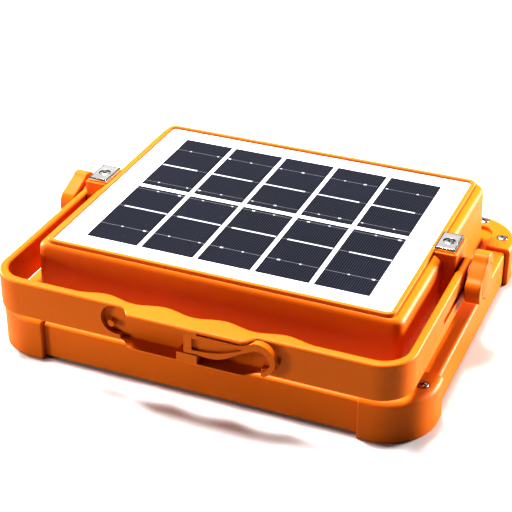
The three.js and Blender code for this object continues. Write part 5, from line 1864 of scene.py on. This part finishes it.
@dataclass(frozen=True)
class RearControls:
    """Socket cover, power button and charge gauge in the rear wall.

    The sockets' mouths and the tab have a half width, a half height and a corner radius. The button's points
    have an inset from its side and a drop from its top. The recess has tighter corners than the cover, so
    that the cover's lower corners clear it as it opens.
    """

    wall: float = 66.4
    inside: float = 64.2
    recess_x: float = 30.0
    recess_half_x: float = 17.0
    recess_half_z: float = 6.0
    recess_corner: float = 1.4
    recess_depth: float = 1.5
    corner_steps: int = 8
    least_corner: float = 0.05
    cover_corner: float = 1.7
    cover_edge: float = 0.25
    socket_pitch: float = 17.0
    socket_a: tuple[float, float, float] = (6.4, 2.6, 0.3)
    socket_c: tuple[float, float, float] = (4.65, 1.8, 1.65)
    button_x: float = -30.0
    button: float = 6.0
    button_flange: float = 1.2
    button_proud: float = 1.4
    button_points: tuple[tuple[float, float], ...] = (
        (0.0, 0.6), (0.15, 0.25), (0.5, 0.05), (0.9, 0.0), (1.8, 0.0), (2.1, 0.25), (4.0, 0.4), (6.0, 0.45))
    gauge_x: float = -5.0
    gauge_half_x: float = 10.0
    gauge_half_z: float = 2.0
    gauge_corner: float = 2.0
    gauge_fit: float = 0.15
    gauge_edge: float = 0.2
    gauge_flange: float = 2.0
    tab: tuple[float, float, float] = (3.0, 1.5, 1.0)
    tab_z: float = 33.2
    tab_proud: float = 0.75
    tab_edge: float = 0.3

    def plate(self, x: float, z: float, half_x: float, half_z: float, corner: float, low: float, high: float,
              edge: float = 0.0) -> Solid:
        """Models a rounded plate that lies in the rear wall.

        Args:
            x: Middle in X.
            z: Middle in Z.
            half_x: Half its width.
            half_z: Half its height.
            corner: Its corner radius.
            low: Its lowest Y.
            high: Its highest Y.
            edge: Rounding of its outer edge.

        Returns:
            The solid.
        """
        rings = [(half_x, half_z, corner, low)]
        if edge > 0:
            for angle in arc_steps(SOFT_STEPS):
                inset = edge * (1 - math.cos(angle))
                rings.append((half_x - inset, half_z - inset, max(corner - inset, self.least_corner),
                              high - edge * (1 - math.sin(angle))))
        else:
            rings.append((half_x, half_z, corner, high))
        solid = Solid().loft(rings, self.corner_steps)
        return solid.move((x, 0, z), Matrix.Rotation(-math.pi / 2, 3, "X"))

    def wall_cutters(self) -> list[Solid]:
        """Gives the solids that open the rear wall.

        Returns:
            The recess, the mouths of both sockets, the button's hole and the gauge's.
        """
        far, through = self.wall + OVERRUN, self.inside - self.recess_depth - OVERRUN
        z, half = HEAD.port_z, self.socket_pitch / 2
        return [
            self.plate(self.recess_x, z, self.recess_half_x, self.recess_half_z, self.recess_corner,
                       self.wall - self.recess_depth, far),
            self.plate(self.recess_x - half, z, *self.socket_a, through, far),
            self.plate(self.recess_x + half, z, *self.socket_c, through, far),
            Solid().bar("y", self.button + FIT, through, far, (self.button_x, z), FINE_STEPS),
            self.plate(self.gauge_x, z, self.gauge_half_x + self.gauge_fit,
                       self.gauge_half_z + self.gauge_fit, self.gauge_corner, through, far)]

    def build(self) -> None:
        """Builds the cover, the button and the gauge window."""
        z = HEAD.port_z
        low = self.wall - self.recess_depth + FIT
        cover = self.plate(self.recess_x, z, self.recess_half_x - FIT, self.recess_half_z - FIT,
                           self.cover_corner, low, self.wall, self.cover_edge)
        cover.join(self.plate(self.recess_x, self.tab_z, *self.tab, low, self.wall + self.tab_proud,
                              self.tab_edge))
        publish(cover, "socket_cover", Body.COVER, RUBBER, ["port_cover"])
        inner = self.inside - self.button_flange - FIT
        height = self.wall + self.button_proud - inner
        outer = self.button + self.button_flange
        crown = [(self.button - inset, height - drop) for inset, drop in self.button_points]
        button = Solid().turn([(0, 0), (outer, 0), (outer, self.button_flange),
                               (self.button, self.button_flange), *crown], FINE_STEPS)
        button.move((self.button_x, inner, z), Matrix.Rotation(-math.pi / 2, 3, "X"))
        publish(button, "rubber_power_button", Body.BUTTON, RUBBER, ["power_button"])
        window = self.plate(self.gauge_x, z, self.gauge_half_x, self.gauge_half_z, self.gauge_half_z - FIT,
                            self.inside - FIT - WELD, self.wall, self.gauge_edge)
        window.join(self.plate(self.gauge_x, z, self.gauge_half_x + self.gauge_flange,
                               self.gauge_half_z + self.gauge_flange, self.gauge_corner,
                               self.inside - FIT - self.button_flange, self.inside - FIT))
        publish(window, "charge_gauge_window", Body.LAMP, LENS, ["gauge_window"])


@dataclass(frozen=True)
class LightSource:
    """Lens, seal, cupped reflector and light board behind the lamp's front."""

    lens_x: float = 96.7
    lens_y: float = 81.0
    lens_corner: float = 18.0
    lens_low: float = 1.5
    lens_high: float = 3.7
    edge: float = 0.3

    def build(self) -> None:
        """Builds the lens and dresses what lies behind it."""
        rings = []
        for angle in reversed(arc_steps(SOFT_STEPS)):
            inset = self.edge * (1 - math.cos(angle))
            rings.append((self.lens_x - inset, self.lens_y - inset, self.lens_corner - inset,
                          self.lens_low + self.edge * (1 - math.sin(angle))))
        rings.append((self.lens_x, self.lens_y, self.lens_corner, self.lens_high))
        publish(Solid().loft(rings), "front_lens", Body.LAMP, LENS, ["lens_cover"])
        for name, finish in {"lens_seal": RUBBER, "reflector_tray": MIRROR, "led_board": WHITE_BOARD,
                             "heat_spreader": ALUMINIUM}.items():
            dress_node(name, finish)


@dataclass(frozen=True)
class Electrics:
    """Battery, control board, sockets and pivots that keep their CAD shapes."""

    cells: int = 4

    def build(self) -> None:
        """Gives each carried node its finish."""
        finishes = {"control_board": GREEN_BOARD, "battery_holder": BLACK, "usb_a_socket": ZINC,
                    "usb_c_socket": ZINC, "switch_body": BLACK}
        for number in range(1, self.cells + 1):
            finishes[f"battery_cell_{number}"] = FILM
        for side in ("left", "right"):
            finishes[f"pivot_nut_{side}"] = ZINC
            finishes[f"pivot_bolt_{side}"] = ZINC
        for name, finish in finishes.items():
            dress_node(name, finish)


@dataclass(frozen=True)
class Camera:
    """The camera at the photo's angle."""

    place: tuple[float, float, float] = (0.21257, -0.52391, 0.35740)
    turn: tuple[float, float, float] = (1.042063, -0.003383, 0.394478)
    lens: float = 99.70
    sensor: float = 36.0
    nearest: float = 0.01
    farthest: float = 50.0

    def build(self) -> None:
        """Adds the camera and makes it the scene's own."""
        data = bpy.data.cameras.new("photo_camera")
        data.lens = self.lens
        data.sensor_width = self.sensor
        data.clip_start = self.nearest
        data.clip_end = self.farthest
        camera = bpy.data.objects.new("photo_camera", data)
        camera.location = self.place
        camera.rotation_euler = self.turn
        bpy.context.scene.collection.objects.link(camera)
        bpy.context.scene.camera = camera


@dataclass(frozen=True)
class Softbox:
    """A soft area light aimed at the lamp."""

    name: str
    place: tuple[float, float, float]
    size: float
    power: float
    colour: tuple[float, float, float] = (1.0, 1.0, 1.0)
    target: tuple[float, float, float] = (0.0, 0.0, 0.03)

    def build(self) -> None:
        """Adds the light."""
        data = bpy.data.lights.new(self.name, "AREA")
        data.shape = "SQUARE"
        data.size = self.size
        data.energy = self.power
        data.color = self.colour
        light = bpy.data.objects.new(self.name, data)
        light.location = self.place
        aim = Vector(self.target) - Vector(self.place)
        light.rotation_euler = aim.to_track_quat("-Z", "Y").to_euler()
        bpy.context.scene.collection.objects.link(light)


@dataclass(frozen=True)
class Studio:
    """Pale floor and soft studio light from above and both sides, with the camera's side left dim."""

    floor_half: float = 6.0
    floor_drop: float = 0.02
    paper_tint: tuple[float, float, float] = (1.0, 0.985, 0.975)
    paper_roughness: float = 0.9
    paper_gloss: float = 0.1
    world: float = 0.02
    contrast: float = 0.85
    seen_floor: float = 0.92
    lit_floor: float = 0.33
    lights: tuple[Softbox, ...] = (
        Softbox("top_softbox", (-0.3, 0.22, 1.25), 0.5, 66.0),
        Softbox("backdrop_glow", (-0.9, 2.2, 1.2), 2.4, 16.0),
        Softbox("right_softbox", (1.0, 0.9, 0.2), 0.4, 68.0),
        Softbox("left_softbox", (-1.2, 0.25, 0.2), 0.3, 30.0),
        Softbox("low_fill", (-0.5, -0.38, 0.06), 0.12, 2.6))

    def paper(self) -> bpy.types.Material:
        """Gives the floor's paper, which throws less light on the lamp than the camera sees in it.

        Returns:
            The material.
        """
        material = bpy.data.materials.new("studio_paper")
        material.use_nodes = True
        nodes = Nodes(material.node_tree)
        shader = material.node_tree.nodes["Principled BSDF"]
        seen = nodes.add("LightPath").outputs["Is Camera Ray"]
        colours = [(*(share * tint for tint in self.paper_tint), 1.0)
                   for share in (self.lit_floor, self.seen_floor)]
        nodes.tree.links.new(nodes.blend(seen, *colours), shader.inputs["Base Color"])
        shader.inputs["Roughness"].default_value = self.paper_roughness
        shader.inputs["Specular IOR Level"].default_value = self.paper_gloss
        return material

    def build(self) -> None:
        """Adds the floor, the lights and the world."""
        bpy.context.scene.view_settings.view_transform = "Standard"
        bpy.context.scene.view_settings.gamma = self.contrast
        sheet = Solid()
        half = self.floor_half / MM
        made = bmesh.ops.create_grid(sheet.mesh, x_segments=1, y_segments=1, size=half)["verts"]
        bmesh.ops.translate(sheet.mesh, vec=(0, 0, -self.floor_drop), verts=made)
        floor = sheet.as_object("studio_floor")
        floor.data.materials.append(self.paper())
        world = bpy.data.worlds.new("studio_world")
        world.use_nodes = True
        background = world.node_tree.nodes["Background"]
        background.inputs["Color"].default_value = (1.0, 1.0, 1.0, 1.0)
        background.inputs["Strength"].default_value = self.world
        bpy.context.scene.world = world
        for light in self.lights:
            light.build()


def main() -> None:
    """Builds the stage and every sub-assembly in order."""
    logging.basicConfig(level=logging.INFO, format="%(name)s: %(message)s")
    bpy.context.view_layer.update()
    Camera().build()
    Studio().build()
    for part in (RearHousing(), CornerGuards(), ScrewSet(), MagnetPlates(), SolarPanel(), Handle(),
                 HookBody(), ClampKnob(), RearControls(), LightSource(), Electrics()):
        part.build()
        LOG.info("built %s", type(part).__name__)


if __name__ == "__main__":
    main()
